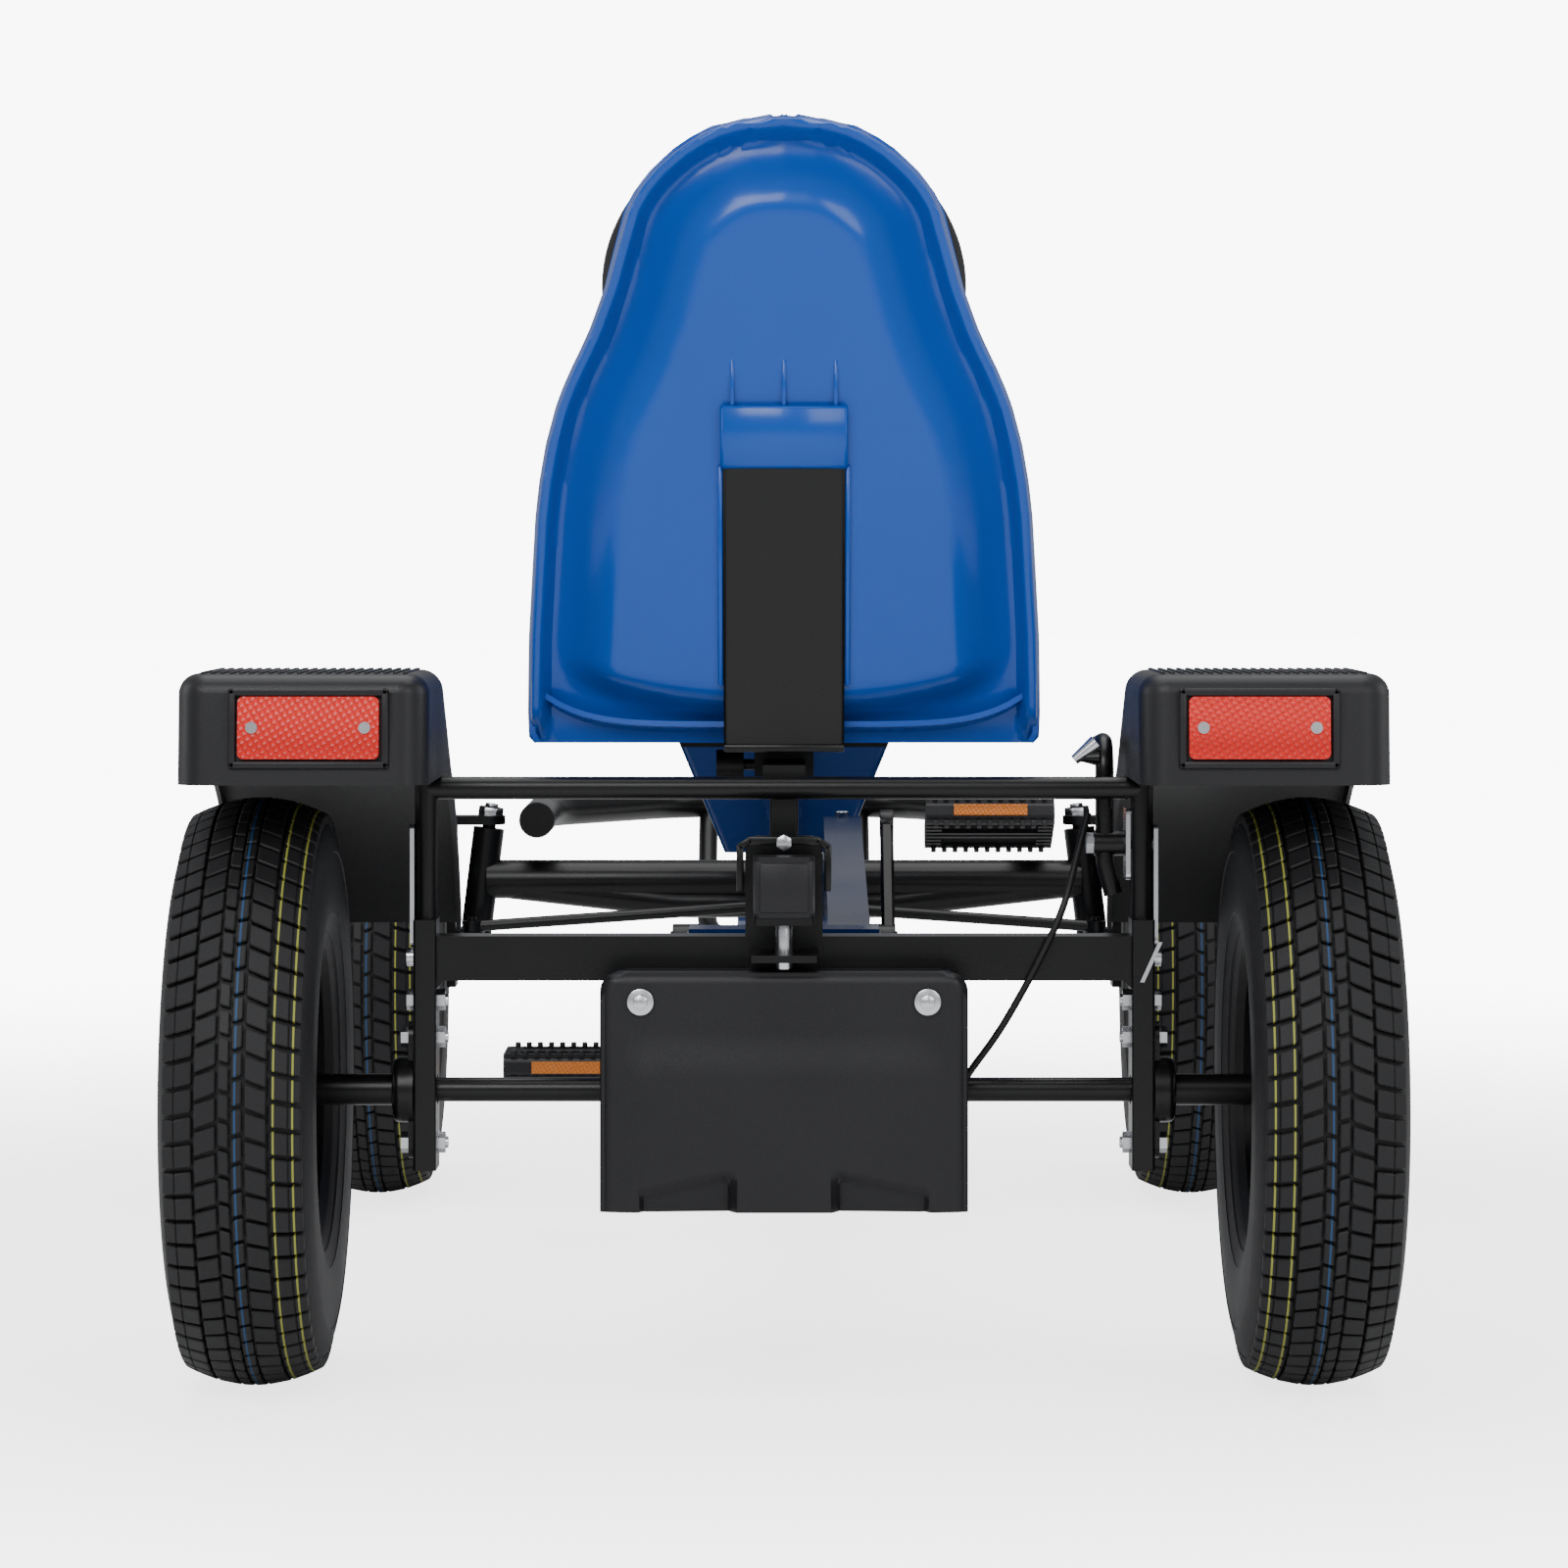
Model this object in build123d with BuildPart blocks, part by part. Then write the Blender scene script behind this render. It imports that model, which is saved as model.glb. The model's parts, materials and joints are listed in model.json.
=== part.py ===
"""Pedal go kart with pneumatic tyres, chain drive, rear band brake, swing front axle and sliding bucket seat.

Frame: +X forward, +Y left, +Z up, millimetres.  The origin is on the ground, in the middle of the kart.
"""

import math
import os

from build123d import *

os.makedirs("parts", exist_ok=True)

# ---------------------------------------------------------------------------
# Driving dimensions
# ---------------------------------------------------------------------------

# Stance
wheelbase = 1070.0
track = 735.0
nose_reach = 335.0  # front axle to the front of the bumper
running_gap = 0.05  # radial, shaft in bush
touch_gap = 0.3  # between faces of parts that move past each other

# Wheels, size 4.00-8
tyre_diameter = 410.0
tyre_width = 105.0
tread_width = 88.0
bead_radius = 101.6
bead_width = 8.0
sidewall = 6.5
cavity_half_height = 42.0
rim_flange_radius = 112.0
rim_half_width = 33.0
rim_wall = 3.0
rim_well_depth = 15.6
hub_tube_radius = 16.0
hub_tube_length = 60.0
wheel_window_count = 6
axle_diameter = 17.0
axle_end_spare = 12.5  # shaft past the wheel hub, for the nut

# Rear frame
cross_tube_height = 31.0
cross_tube_depth = 30.0
cross_tube_z = 298.0
upright_thickness = 16.0
upright_depth = 40.0
upright_inside_y = 243.0
upright_bottom = 150.0
upright_top = 325.0
frame_wall = 2.5
bearing_bolt_spacing = 74.0
bolt_diameter = 8.0
bolt_head_across = 13.0
bolt_head_height = 5.5
bolt_hole_gap = 0.2  # radial

# Mudguard hoop
hoop_diameter = 16.0
hoop_bar_z = 416.5
hoop_arm_z = 480.0
hoop_bend = 26.0

# Mudguards
guard_inside_y = 240.0
guard_width = 170.0
guard_wall = 3.0
guard_arc_radius = 243.0
guard_top_z = 500.0
guard_rear_reach = 150.0
guard_lip_z = 425.0
guard_corner = 20.0
guard_rear_slope = 6.0
guard_front_angle = 25.0  # degrees above the wheel centre where the front skirt ends
reflector_length = 95.0
reflector_height = 42.0
reflector_depth = 6.0
rivet_spacing = 76.0
rivet_diameter = 4.0

# Main frame
spine_diameter = 50.0
spine_wall = 2.5
spine_low_z = 205.0
spine_bend = 150.0
spine_front_overhang = 120.0  # past the front axle
shell_diameter = 42.0
shell_length = 80.0
crank_hub_y = 72.0
mast_foot_setback = 37.3  # behind the front axle

# Seat and its mount
rail_width = 30.0
rail_height = 20.0
rail_top_z = 432.0
rail_length = 310.0
post_size = 20.0
post_setback = 10.0  # rear face of the rear post ahead of the rear axle
carriage_length = 120.0
carriage_wall = 6.0
seat_width = 368.0
seat_wall = 4.0
seat_border = 8.0
seat_edge_bend = 26.0
seat_bottom_z = 446.0
seat_top_z = 884.0
seat_front_x = 372.0  # ahead of the rear axle
seat_lean = 14.0  # degrees
bracket_width = 85.0
bracket_thickness = 5.0
bracket_top_z = 643.0

# Crank, pedals and chain drive
crank_setback = 245.0  # behind the front axle
crank_z = 246.0
crank_length = 125.0
crank_rest_angle = 39.0  # right crank, degrees forward of straight up
crank_axle_diameter = 17.0
pedal_inside_y = 124.0
pedal_width = 112.0
pedal_length = 74.0
pedal_height = 22.0
pedal_tooth = 3.5
pedal_spindle_diameter = 12.0
right_pedal_tilt = 22.0  # degrees, nose down
chain_pitch = 12.7
chain_plate_height = 8.6
chain_width = 8.0
chainring_teeth = 48
driver_teeth = 20
output_teeth = 18
axle_teeth = 18
sprocket_thickness = 2.6
drive_chain_y = -50.0
axle_chain_y = 50.0
hub_reach = 190.0  # ahead of the rear axle
hub_z = 226.0
hub_shell_radius = 30.0
hub_bracket_y = 70.0
hub_bracket_wall = 4.0
case_width = 28.0
case_wall = 2.0
case_clearance = 4.0

# Brake
drum_radius = 45.0
drum_width = 24.0
drum_y = -82.0
band_thickness = 2.5
band_gap = 1.0
cable_diameter = 5.0

# Rear chain cover
cover_half_width = 126.0
cover_bottom = 127.0
cover_top = 292.0
cover_wall = 3.0
cover_bolt_y = 99.0
cover_bolt_z = 272.0

# Tow hitch
hitch_width = 54.0
hitch_plate = 5.0
hitch_lower_z = 300.0
hitch_gap = 25.0
hitch_top_z = 384.0
tow_pin_diameter = 11.0
tow_pin_x = -58.0  # from the rear axle
tow_grip = 42.0

# Front axle
beam_diameter = 35.0
beam_z = 284.0
bow_diameter = 28.0
bow_drop = 26.0
kingpin_y = 274.0
kingpin_z = 287.0
kingpin_tilt = 7.0  # degrees, top inward
kingpin_diameter = 12.0
kingpin_sleeve_diameter = 28.0
kingpin_sleeve_length = 88.0
pivot_bolt_diameter = 16.0
lug_thickness = 6.0
knuckle_web_y = 302.0
knuckle_web = 8.0
steering_arm = 62.0
tie_rod_diameter = 10.0
pitman_length = 28.0
column_rise = 60.0  # degrees above level

# Steering
wheel_axis_angle = 25.0  # degrees above level
steering_wheel_radius = 148.0  # to the outside of the rim
steering_rim_diameter = 30.0
upper_shaft_length = 207.0
shaft_diameter = 16.0
jacket_diameter = 38.0
jacket_wall = 3.0

# Front bumper
bumper_diameter = 32.0
bumper_z = 340.0
bumper_arm_y = 73.0
bumper_arm_diameter = 18.0

# Handbrake
lever_diameter = 13.0
lever_y = -228.0
lever_pivot_x = 20.0  # from the rear axle
lever_plate = 3.0

# Derived places
tyre_radius = tyre_diameter / 2
axle_z = tyre_radius
rear_x = (tyre_radius - wheelbase - nose_reach) / 2
front_x = rear_x + wheelbase
wheel_y = track / 2
axle_radius = axle_diameter / 2
upright_outside_y = upright_inside_y + upright_thickness
upright_mid_y = upright_inside_y + upright_thickness / 2
crank_x = front_x - crank_setback
hub_x = rear_x + hub_reach
spine_front_x = front_x + spine_front_overhang
cross_top = cross_tube_z + cross_tube_height / 2
cross_bottom = cross_tube_z - cross_tube_height / 2
sides = (("left", 1), ("right", -1))


def save(part, name):
    """Labels a finished piece and writes its STEP file."""
    part.label = name
    export_step(part, f"parts/{name}.step")


def side_plane(x, y, z):
    """A sketch plane whose X is the kart's +X, whose Y is +Z and whose normal is -Y."""
    return Plane(origin=(x, y, z), x_dir=(1, 0, 0), z_dir=(0, -1, 0))


def radial_plane(x, y, z):
    """A sketch plane whose X is the kart's +Y and whose Y is +Z."""
    return Plane(origin=(x, y, z), x_dir=(0, 1, 0), z_dir=(1, 0, 0))


def smooth_radii(points, share=0.45):
    """The largest bend at each corner of a route that its two runs have room for."""
    radii = []
    for before, here, after in zip(points, points[1:], points[2:]):
        arriving = Vector(*here) - Vector(*before)
        leaving = Vector(*after) - Vector(*here)
        turn = math.radians(arriving.get_angle(leaving))
        shorter = min(arriving.length, leaving.length)
        radii.append(share * shorter / math.tan(turn / 2))
    return radii


def bent_tube(points, bends, diameter, wall=0.0):
    """A round tube, or a bar if it has no wall, swept along runs joined by tangent arcs."""
    with BuildPart() as tube:
        with BuildLine() as route:
            if len(points) > 2:
                FilletPolyline(*points, radius=bends)
            else:
                Line(*points)
        with BuildSketch(Plane(origin=route.line @ 0, z_dir=route.line % 0)):
            Circle(diameter / 2)
            if wall:
                Circle(diameter / 2 - wall, mode=Mode.SUBTRACT)
        sweep()
    return tube.part


def rod(start, end, radius, bore=0.0):
    """A straight round bar or sleeve between two points."""
    with BuildPart() as bar:
        direction = Vector(*end) - Vector(*start)
        with BuildSketch(Plane(origin=start, z_dir=direction)):
            Circle(radius)
            if bore:
                Circle(bore, mode=Mode.SUBTRACT)
        extrude(amount=direction.length)
    return bar.part


def hex_bolt(start, end, diameter=bolt_diameter, across=bolt_head_across, height=bolt_head_height):
    """A bolt clamping from start to end, with its head before start and its nut past end."""
    axis = (Vector(*end) - Vector(*start)).normalized()
    with BuildPart() as bolt:
        with BuildSketch(Plane(origin=Vector(*start) - axis * height, z_dir=axis)):
            RegularPolygon(across / 2, 6, major_radius=False)
        extrude(amount=height)
        with BuildSketch(Plane(origin=end, z_dir=axis)):
            RegularPolygon(across / 2, 6, major_radius=False)
        extrude(amount=height)
        with BuildSketch(Plane(origin=start, z_dir=axis)):
            Circle(diameter / 2)
        extrude(amount=(Vector(*end) - Vector(*start)).length + height + diameter / 4)
    return bolt.part


def sprocket_radius(teeth):
    """Pitch radius of a chain sprocket."""
    return chain_pitch / (2 * math.sin(math.pi / teeth))


def sprocket(x, y, z, teeth, bore_radius):
    """A flat sprocket on a Y axis, with rounded tooth gaps for the chain's rollers."""
    pitch_radius = sprocket_radius(teeth)
    roller_radius = chain_pitch * 0.31
    with BuildPart() as wheel:
        with BuildSketch(side_plane(x, y + sprocket_thickness / 2, z)):
            Circle(pitch_radius + chain_pitch * 0.28)
            with PolarLocations(pitch_radius, teeth):
                Circle(roller_radius, mode=Mode.SUBTRACT)
            Circle(bore_radius, mode=Mode.SUBTRACT)
        extrude(amount=sprocket_thickness)
    return wheel.part


# ---------------------------------------------------------------------------
# Wheels
# ---------------------------------------------------------------------------


def tyre(x, y):
    """Hollow casing of a pneumatic tyre on a Y axis."""
    half = tyre_width / 2
    shoulder = tread_width / 2
    mid_radius = bead_radius + 0.48 * (tyre_radius - bead_radius)
    shoulder_radius = tyre_radius - 11.0
    with BuildPart() as casing:
        with BuildSketch(radial_plane(x, y, axle_z)):
            with BuildLine():
                Line((-rim_half_width, bead_radius), (-rim_half_width, rim_flange_radius))
                ThreePointArc(
                    (-rim_half_width, rim_flange_radius), (-half, mid_radius), (-shoulder, shoulder_radius)
                )
                ThreePointArc((-shoulder, shoulder_radius), (0, tyre_radius), (shoulder, shoulder_radius))
                ThreePointArc(
                    (shoulder, shoulder_radius), (half, mid_radius), (rim_half_width, rim_flange_radius)
                )
                Line((rim_half_width, rim_flange_radius), (rim_half_width, bead_radius))
                Line((rim_half_width, bead_radius), (-rim_half_width, bead_radius))
            make_face()
            with Locations((0, mid_radius)):
                Ellipse(half - sidewall, cavity_half_height, mode=Mode.SUBTRACT)
            with Locations((0, bead_radius)):
                Rectangle(2 * (rim_half_width - bead_width), cavity_half_height, mode=Mode.SUBTRACT)
        revolve(axis=Axis((x, y, axle_z), (0, 1, 0)))
    return casing.part


def rim(x, y, out, bore_radius):
    """Pressed steel rim with its disc and hub tube; out is +1 where the wheel's outside faces +Y."""
    well = bead_radius - rim_well_depth
    tip = rim_half_width + rim_wall
    disc = 9.5
    half_tube = hub_tube_length / 2
    with BuildPart() as wheel:
        with BuildSketch(radial_plane(x, y, axle_z)):
            Polygon(
                (-rim_half_width, rim_flange_radius),
                (-rim_half_width, bead_radius),
                (-18.0, bead_radius),
                (-11.0, well),
                (11.0, well),
                (18.0, bead_radius),
                (rim_half_width, bead_radius),
                (rim_half_width, rim_flange_radius),
                (tip, rim_flange_radius),
                (tip, bead_radius - rim_wall),
                (19.5, bead_radius - rim_wall),
                (12.5, well - rim_wall),
                (-12.5, well - rim_wall),
                (-19.5, bead_radius - rim_wall),
                (-tip, bead_radius - rim_wall),
                (-tip, rim_flange_radius),
                align=None,
            )
        revolve(axis=Axis((x, y, axle_z), (0, 1, 0)))
        with BuildSketch(radial_plane(x, y, axle_z)):
            Polygon(
                (out * -3.0, well - rim_wall + 0.5),
                (out * 0.5, well - rim_wall + 0.5),
                (out * (disc + 1.5), 60.0),
                (out * (disc + 1.5), hub_tube_radius - 0.5),
                (out * (disc - 1.5), hub_tube_radius - 0.5),
                (out * (disc - 1.5), 59.0),
                align=None,
            )
        revolve(axis=Axis((x, y, axle_z), (0, 1, 0)))
        with BuildSketch(side_plane(x, y + half_tube, axle_z)):
            Circle(hub_tube_radius)
            Circle(bore_radius, mode=Mode.SUBTRACT)
        extrude(amount=hub_tube_length)
        with BuildSketch(side_plane(x, y + half_tube, axle_z)):
            with PolarLocations(39.0, wheel_window_count, start_angle=15.0):
                Circle(11.0)
        extrude(amount=hub_tube_length, mode=Mode.SUBTRACT)
    return wheel.part


for side, out in sides:
    save(tyre(rear_x, out * wheel_y), f"rear_tyre_{side}")
    save(tyre(front_x, out * wheel_y), f"front_tyre_{side}")
    save(rim(rear_x, out * wheel_y, out, axle_radius), f"rear_rim_{side}")
    save(rim(front_x, out * wheel_y, out, axle_radius + running_gap), f"front_rim_{side}")

# ---------------------------------------------------------------------------
# Rear axle
# ---------------------------------------------------------------------------

bearing_depth = 15.0
hub_inside_y = wheel_y - hub_tube_length / 2
hub_outside_y = wheel_y + hub_tube_length / 2
sleeve_radius = 11.0
bearing_outside_y = upright_outside_y + bearing_depth

with BuildPart() as rear_axle_shaft:
    with BuildSketch(side_plane(rear_x, hub_outside_y + axle_end_spare, axle_z)):
        Circle(axle_radius)
    extrude(amount=2 * (hub_outside_y + axle_end_spare))
    for out in (1, -1):
        inner = bearing_outside_y + 2 * touch_gap
        with BuildSketch(side_plane(rear_x, max(out * inner, out * hub_inside_y), axle_z)):
            Circle(sleeve_radius)
        extrude(amount=hub_inside_y - inner)
save(rear_axle_shaft.part, "rear_axle_shaft")

with BuildPart() as axle_nuts:
    for out in (1, -1):
        with BuildSketch(side_plane(rear_x, max(out * hub_outside_y, out * (hub_outside_y + 10.0)), axle_z)):
            RegularPolygon(12.0, 6, major_radius=False)
            Circle(axle_radius, mode=Mode.SUBTRACT)
        extrude(amount=10.0)
save(axle_nuts.part, "axle_nuts")

save(sprocket(rear_x, axle_chain_y, axle_z, axle_teeth, axle_radius), "axle_sprocket")

with BuildPart() as brake_drum:
    with BuildSketch(side_plane(rear_x, drum_y + drum_width / 2, axle_z)):
        Circle(drum_radius)
        Circle(drum_radius - 5.0, mode=Mode.SUBTRACT)
    extrude(amount=drum_width)
    with BuildSketch(side_plane(rear_x, drum_y + 2.5, axle_z)):
        Circle(drum_radius - 4.0)
        Circle(axle_radius, mode=Mode.SUBTRACT)
        with PolarLocations(28.0, 5):
            Circle(6.0, mode=Mode.SUBTRACT)
    extrude(amount=5.0)
    with BuildSketch(side_plane(rear_x, drum_y + drum_width / 2, axle_z)):
        Circle(15.0)
        Circle(axle_radius, mode=Mode.SUBTRACT)
    extrude(amount=drum_width)
save(brake_drum.part, "brake_drum")

with BuildPart() as axle_bearings:
    for out in (1, -1):
        face = out * upright_outside_y
        outward = Plane(origin=(rear_x, face, axle_z), x_dir=(0, 0, 1), z_dir=(0, out, 0))
        with BuildSketch(outward):
            SlotCenterToCenter(bearing_bolt_spacing, 22.0)
            Circle(24.0)
            Circle(axle_radius + running_gap, mode=Mode.SUBTRACT)
            with Locations((-bearing_bolt_spacing / 2, 0), (bearing_bolt_spacing / 2, 0)):
                Circle(bolt_diameter / 2 + bolt_hole_gap, mode=Mode.SUBTRACT)
        extrude(amount=4.0)
        with BuildSketch(outward.offset(4.0)):
            Circle(23.0)
            Circle(axle_radius + running_gap, mode=Mode.SUBTRACT)
        extrude(amount=bearing_depth - 4.0)
    fillet(
        axle_bearings.edges()
        .filter_by(GeomType.CIRCLE)
        .filter_by(lambda e: abs(e.radius - 23.0) < 0.01)
        .filter_by(lambda e: abs(abs(e.center().Y) - bearing_outside_y) < 0.1),
        radius=5.0,
    )
save(axle_bearings.part, "axle_bearings")

# ---------------------------------------------------------------------------
# Rear frame: cross tube, uprights and the cover's mounting plate
# ---------------------------------------------------------------------------

frame_bolt_heights = (cross_tube_z, cross_tube_z - 30.0)
bearing_bolt_heights = (axle_z + bearing_bolt_spacing / 2, axle_z - bearing_bolt_spacing / 2)

with BuildPart() as rear_frame:
    with Locations((rear_x, 0, cross_tube_z)):
        Box(cross_tube_depth, 2 * upright_inside_y, cross_tube_height)
        Box(
            cross_tube_depth - 2 * frame_wall,
            2 * upright_inside_y,
            cross_tube_height - 2 * frame_wall,
            mode=Mode.SUBTRACT,
        )
    for out in (1, -1):
        with BuildSketch(Plane.XY.offset(upright_bottom)):
            with Locations((rear_x, out * upright_mid_y)):
                RectangleRounded(upright_depth, upright_thickness, 2.0)
        extrude(amount=upright_top - upright_bottom)
        with BuildSketch(radial_plane(rear_x - cross_tube_depth / 2, 0, 0)):
            Polygon(
                (out * (upright_inside_y - 5.5), cross_bottom),
                (out * upright_inside_y, cross_bottom),
                (out * upright_inside_y, cross_bottom - 5.5),
                align=None,
            )
        extrude(amount=cross_tube_depth)
        for height in frame_bolt_heights + bearing_bolt_heights:
            rear_face_y = max(out * upright_inside_y, out * upright_outside_y)
            with BuildSketch(side_plane(rear_x, rear_face_y, height)):
                Circle(bolt_diameter / 2 + bolt_hole_gap)
            extrude(amount=upright_thickness, mode=Mode.SUBTRACT)
        with BuildSketch(side_plane(rear_x, max(out * upright_inside_y, out * upright_outside_y), axle_z)):
            Circle(axle_radius + 2.0)
        extrude(amount=upright_thickness, mode=Mode.SUBTRACT)
    plate_x = rear_x - cross_tube_depth / 2 - 3.0
    with BuildSketch(radial_plane(plate_x, 0, 0)):
        with Locations((-cover_bolt_y, cover_bolt_z + 4.0), (cover_bolt_y, cover_bolt_z + 4.0)):
            RectangleRounded(32.0, 30.0, 4.0)
        with Locations((-cover_bolt_y, cover_bolt_z), (cover_bolt_y, cover_bolt_z)):
            Circle(bolt_diameter / 2 + bolt_hole_gap, mode=Mode.SUBTRACT)
    extrude(amount=3.0)
save(rear_frame.part, "rear_frame")

# ---------------------------------------------------------------------------
# Mudguard hoop: crossbar, two legs and the arms under the mudguards
# ---------------------------------------------------------------------------

hoop_arm_end_y = guard_inside_y + guard_width - 22.0
hoop_tubes = [
    bent_tube(
        [
            (rear_x, out * upright_mid_y, upright_top),
            (rear_x, out * upright_mid_y, hoop_arm_z),
            (rear_x, out * hoop_arm_end_y, hoop_arm_z),
        ],
        hoop_bend,
        hoop_diameter,
    )
    for out in (1, -1)
]
hoop_bar = rod((rear_x, -upright_mid_y, hoop_bar_z), (rear_x, upright_mid_y, hoop_bar_z), hoop_diameter / 2)
brake_bolt_z = 377.0

with BuildPart() as mudguard_hoop:
    add(hoop_tubes)
    add(hoop_bar)
    with BuildSketch(side_plane(rear_x, -upright_mid_y + hoop_diameter, brake_bolt_z)):
        Circle(bolt_diameter / 2 + bolt_hole_gap)
    extrude(amount=2 * hoop_diameter, mode=Mode.SUBTRACT)
save(mudguard_hoop.part, "mudguard_hoop")


# ---------------------------------------------------------------------------
# Mudguards and reflectors
# ---------------------------------------------------------------------------


def guard_profile(inset):
    """Side view of a mudguard around the rear wheel, as a closed outline taken in by a wall."""
    radius = guard_arc_radius - inset
    top = guard_top_z - inset
    rear = rear_x - guard_rear_reach + inset
    front = math.radians(guard_front_angle)
    start = math.radians(66.0)
    skirt = guard_arc_radius - 16.0
    front_out = (rear_x + radius * math.cos(front), axle_z + radius * math.sin(front))
    front_in = (rear_x + skirt * math.cos(front), axle_z + skirt * math.sin(front))
    arc_start = (rear_x + radius * math.cos(start), axle_z + radius * math.sin(start))
    arc_middle = math.radians((66.0 + guard_front_angle) / 2)
    lip = guard_lip_z
    lip_x = rear_x + math.sqrt(skirt**2 - (lip - axle_z) ** 2)
    lip_angle = math.atan2(lip - axle_z, lip_x - rear_x)
    skirt_middle = (lip_angle + front) / 2
    with BuildLine() as outline:
        Line((rear, lip), (rear + guard_rear_slope, top))
        Line((rear + guard_rear_slope, top), (rear_x - 10.0, top))
        Line((rear_x - 10.0, top), arc_start)
        ThreePointArc(
            arc_start,
            (rear_x + radius * math.cos(arc_middle), axle_z + radius * math.sin(arc_middle)),
            front_out,
        )
        Line(front_out, front_in)
        ThreePointArc(
            front_in,
            (rear_x + skirt * math.cos(skirt_middle), axle_z + skirt * math.sin(skirt_middle)),
            (lip_x, lip),
        )
        Line((lip_x, lip), (rear, lip))
    return outline.line


reflector_z = (guard_lip_z + guard_top_z) / 2 + 1.0
guard_rise = (reflector_z - guard_lip_z) / (guard_top_z - guard_lip_z)
guard_rear_mid_x = rear_x - guard_rear_reach + guard_rear_slope * guard_rise


def guard_block(out, inset):
    """Solid block of a mudguard's shape, with its rounded rear and top corners, taken in by a wall."""
    inside = out * (guard_inside_y + inset)
    outside = out * (guard_inside_y + guard_width - inset)
    corner = guard_corner - inset
    with BuildPart() as block:
        with BuildSketch(side_plane(0, max(inside, outside), 0)):
            with BuildLine():
                add(guard_profile(inset))
            make_face()
        extrude(amount=guard_width - 2 * inset)
        rear_edges = block.edges().filter_by(
            lambda e: abs(e.tangent_at(0.5).Y) < 0.01
            and e.center().X < rear_x - guard_rear_reach + 2 * guard_rear_slope
            and e.length > 40.0
        )
        fillet(rear_edges, radius=corner)
        top_edges = block.edges().filter_by(
            lambda e: e.center().Z > guard_top_z - inset - 0.5 and abs(e.tangent_at(0.5).Y) < 0.9
        )
        fillet(top_edges, radius=corner * 0.7)
    return block.part


def mudguard(out):
    """Moulded mudguard: a box over the rear of the wheel that runs into a skirt round its front."""
    with BuildPart() as guard:
        add(guard_block(out, 0.0))
        add(guard_block(out, guard_wall), mode=Mode.SUBTRACT)
    return guard.part


with BuildPart() as mudguards:
    for side, out in sides:
        add(mudguard(out))
save(mudguards.part, "mudguards")

guard_slope = math.atan2(guard_rear_slope, guard_top_z - guard_lip_z)
reflector_plane = Plane(
    origin=(guard_rear_mid_x, 0, reflector_z),
    x_dir=(0, 1, 0),
    z_dir=(-math.cos(guard_slope), 0, math.sin(guard_slope)),
)
reflector_y = guard_inside_y + guard_width / 2 - 5.0

with BuildPart() as rear_reflectors:
    for side, out in sides:
        with BuildSketch(reflector_plane):
            with Locations((out * reflector_y, 0)):
                RectangleRounded(reflector_length, reflector_height, 4.0)
        extrude(amount=reflector_depth)
save(rear_reflectors.part, "rear_reflectors")

with BuildPart() as reflector_rivets:
    for side, out in sides:
        for shift in (-rivet_spacing / 2, rivet_spacing / 2):
            with BuildSketch(reflector_plane.offset(reflector_depth)):
                with Locations((out * reflector_y + shift, 0)):
                    Circle(rivet_diameter)
            extrude(amount=1.5)
save(reflector_rivets.part, "reflector_rivets")

# ---------------------------------------------------------------------------
# Frame bolts
# ---------------------------------------------------------------------------

with BuildPart() as frame_bolts:
    for side, out in sides:
        for height in frame_bolt_heights:
            add(
                hex_bolt(
                    (rear_x, out * upright_outside_y, height), (rear_x, out * upright_inside_y, height)
                )
                if height < cross_bottom
                else rod(
                    (rear_x, out * upright_outside_y, height),
                    (rear_x, out * (upright_outside_y + bolt_head_height), height),
                    bolt_head_across / 2,
                )
            )
        for height in bearing_bolt_heights:
            add(
                hex_bolt(
                    (rear_x, out * (upright_outside_y + 4.0), height),
                    (rear_x, out * upright_inside_y, height),
                )
            )
save(frame_bolts.part, "frame_bolts")

# ---------------------------------------------------------------------------
# Main frame
# ---------------------------------------------------------------------------

cross_front_x = rear_x + cross_tube_depth / 2
spine_high_z = 283.0
spine_route = [
    (cross_front_x, 0, spine_high_z),
    (rear_x + 285.0, 0, spine_high_z),
    (rear_x + 440.0, 0, spine_low_z),
    (spine_front_x, 0, spine_low_z),
]
column_tilt = math.radians(column_rise)
column_up = Vector(-math.cos(column_tilt), 0, math.sin(column_tilt))
column_forward = Vector(math.sin(column_tilt), 0, math.cos(column_tilt))
column_foot = Vector(front_x - mast_foot_setback, 0, 262.0)
wheel_tilt = math.radians(wheel_axis_angle)
wheel_up = Vector(-math.cos(wheel_tilt), 0, math.sin(wheel_tilt))
knee_distance = 505.0  # from the column's foot up to the knee
knee = column_foot + column_up * knee_distance
knee_radius = 30.0
wheel_hub = knee + wheel_up * (knee_radius + upper_shaft_length)
shaft_radius = shaft_diameter / 2
jacket_radius = jacket_diameter / 2
jacket_start = 30.0
bush_length = 16.0
upper_jacket_end = knee_radius + 70.0
lug_gap = beam_diameter / 2 + touch_gap + 0.5
foot_x = column_foot.X

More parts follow.
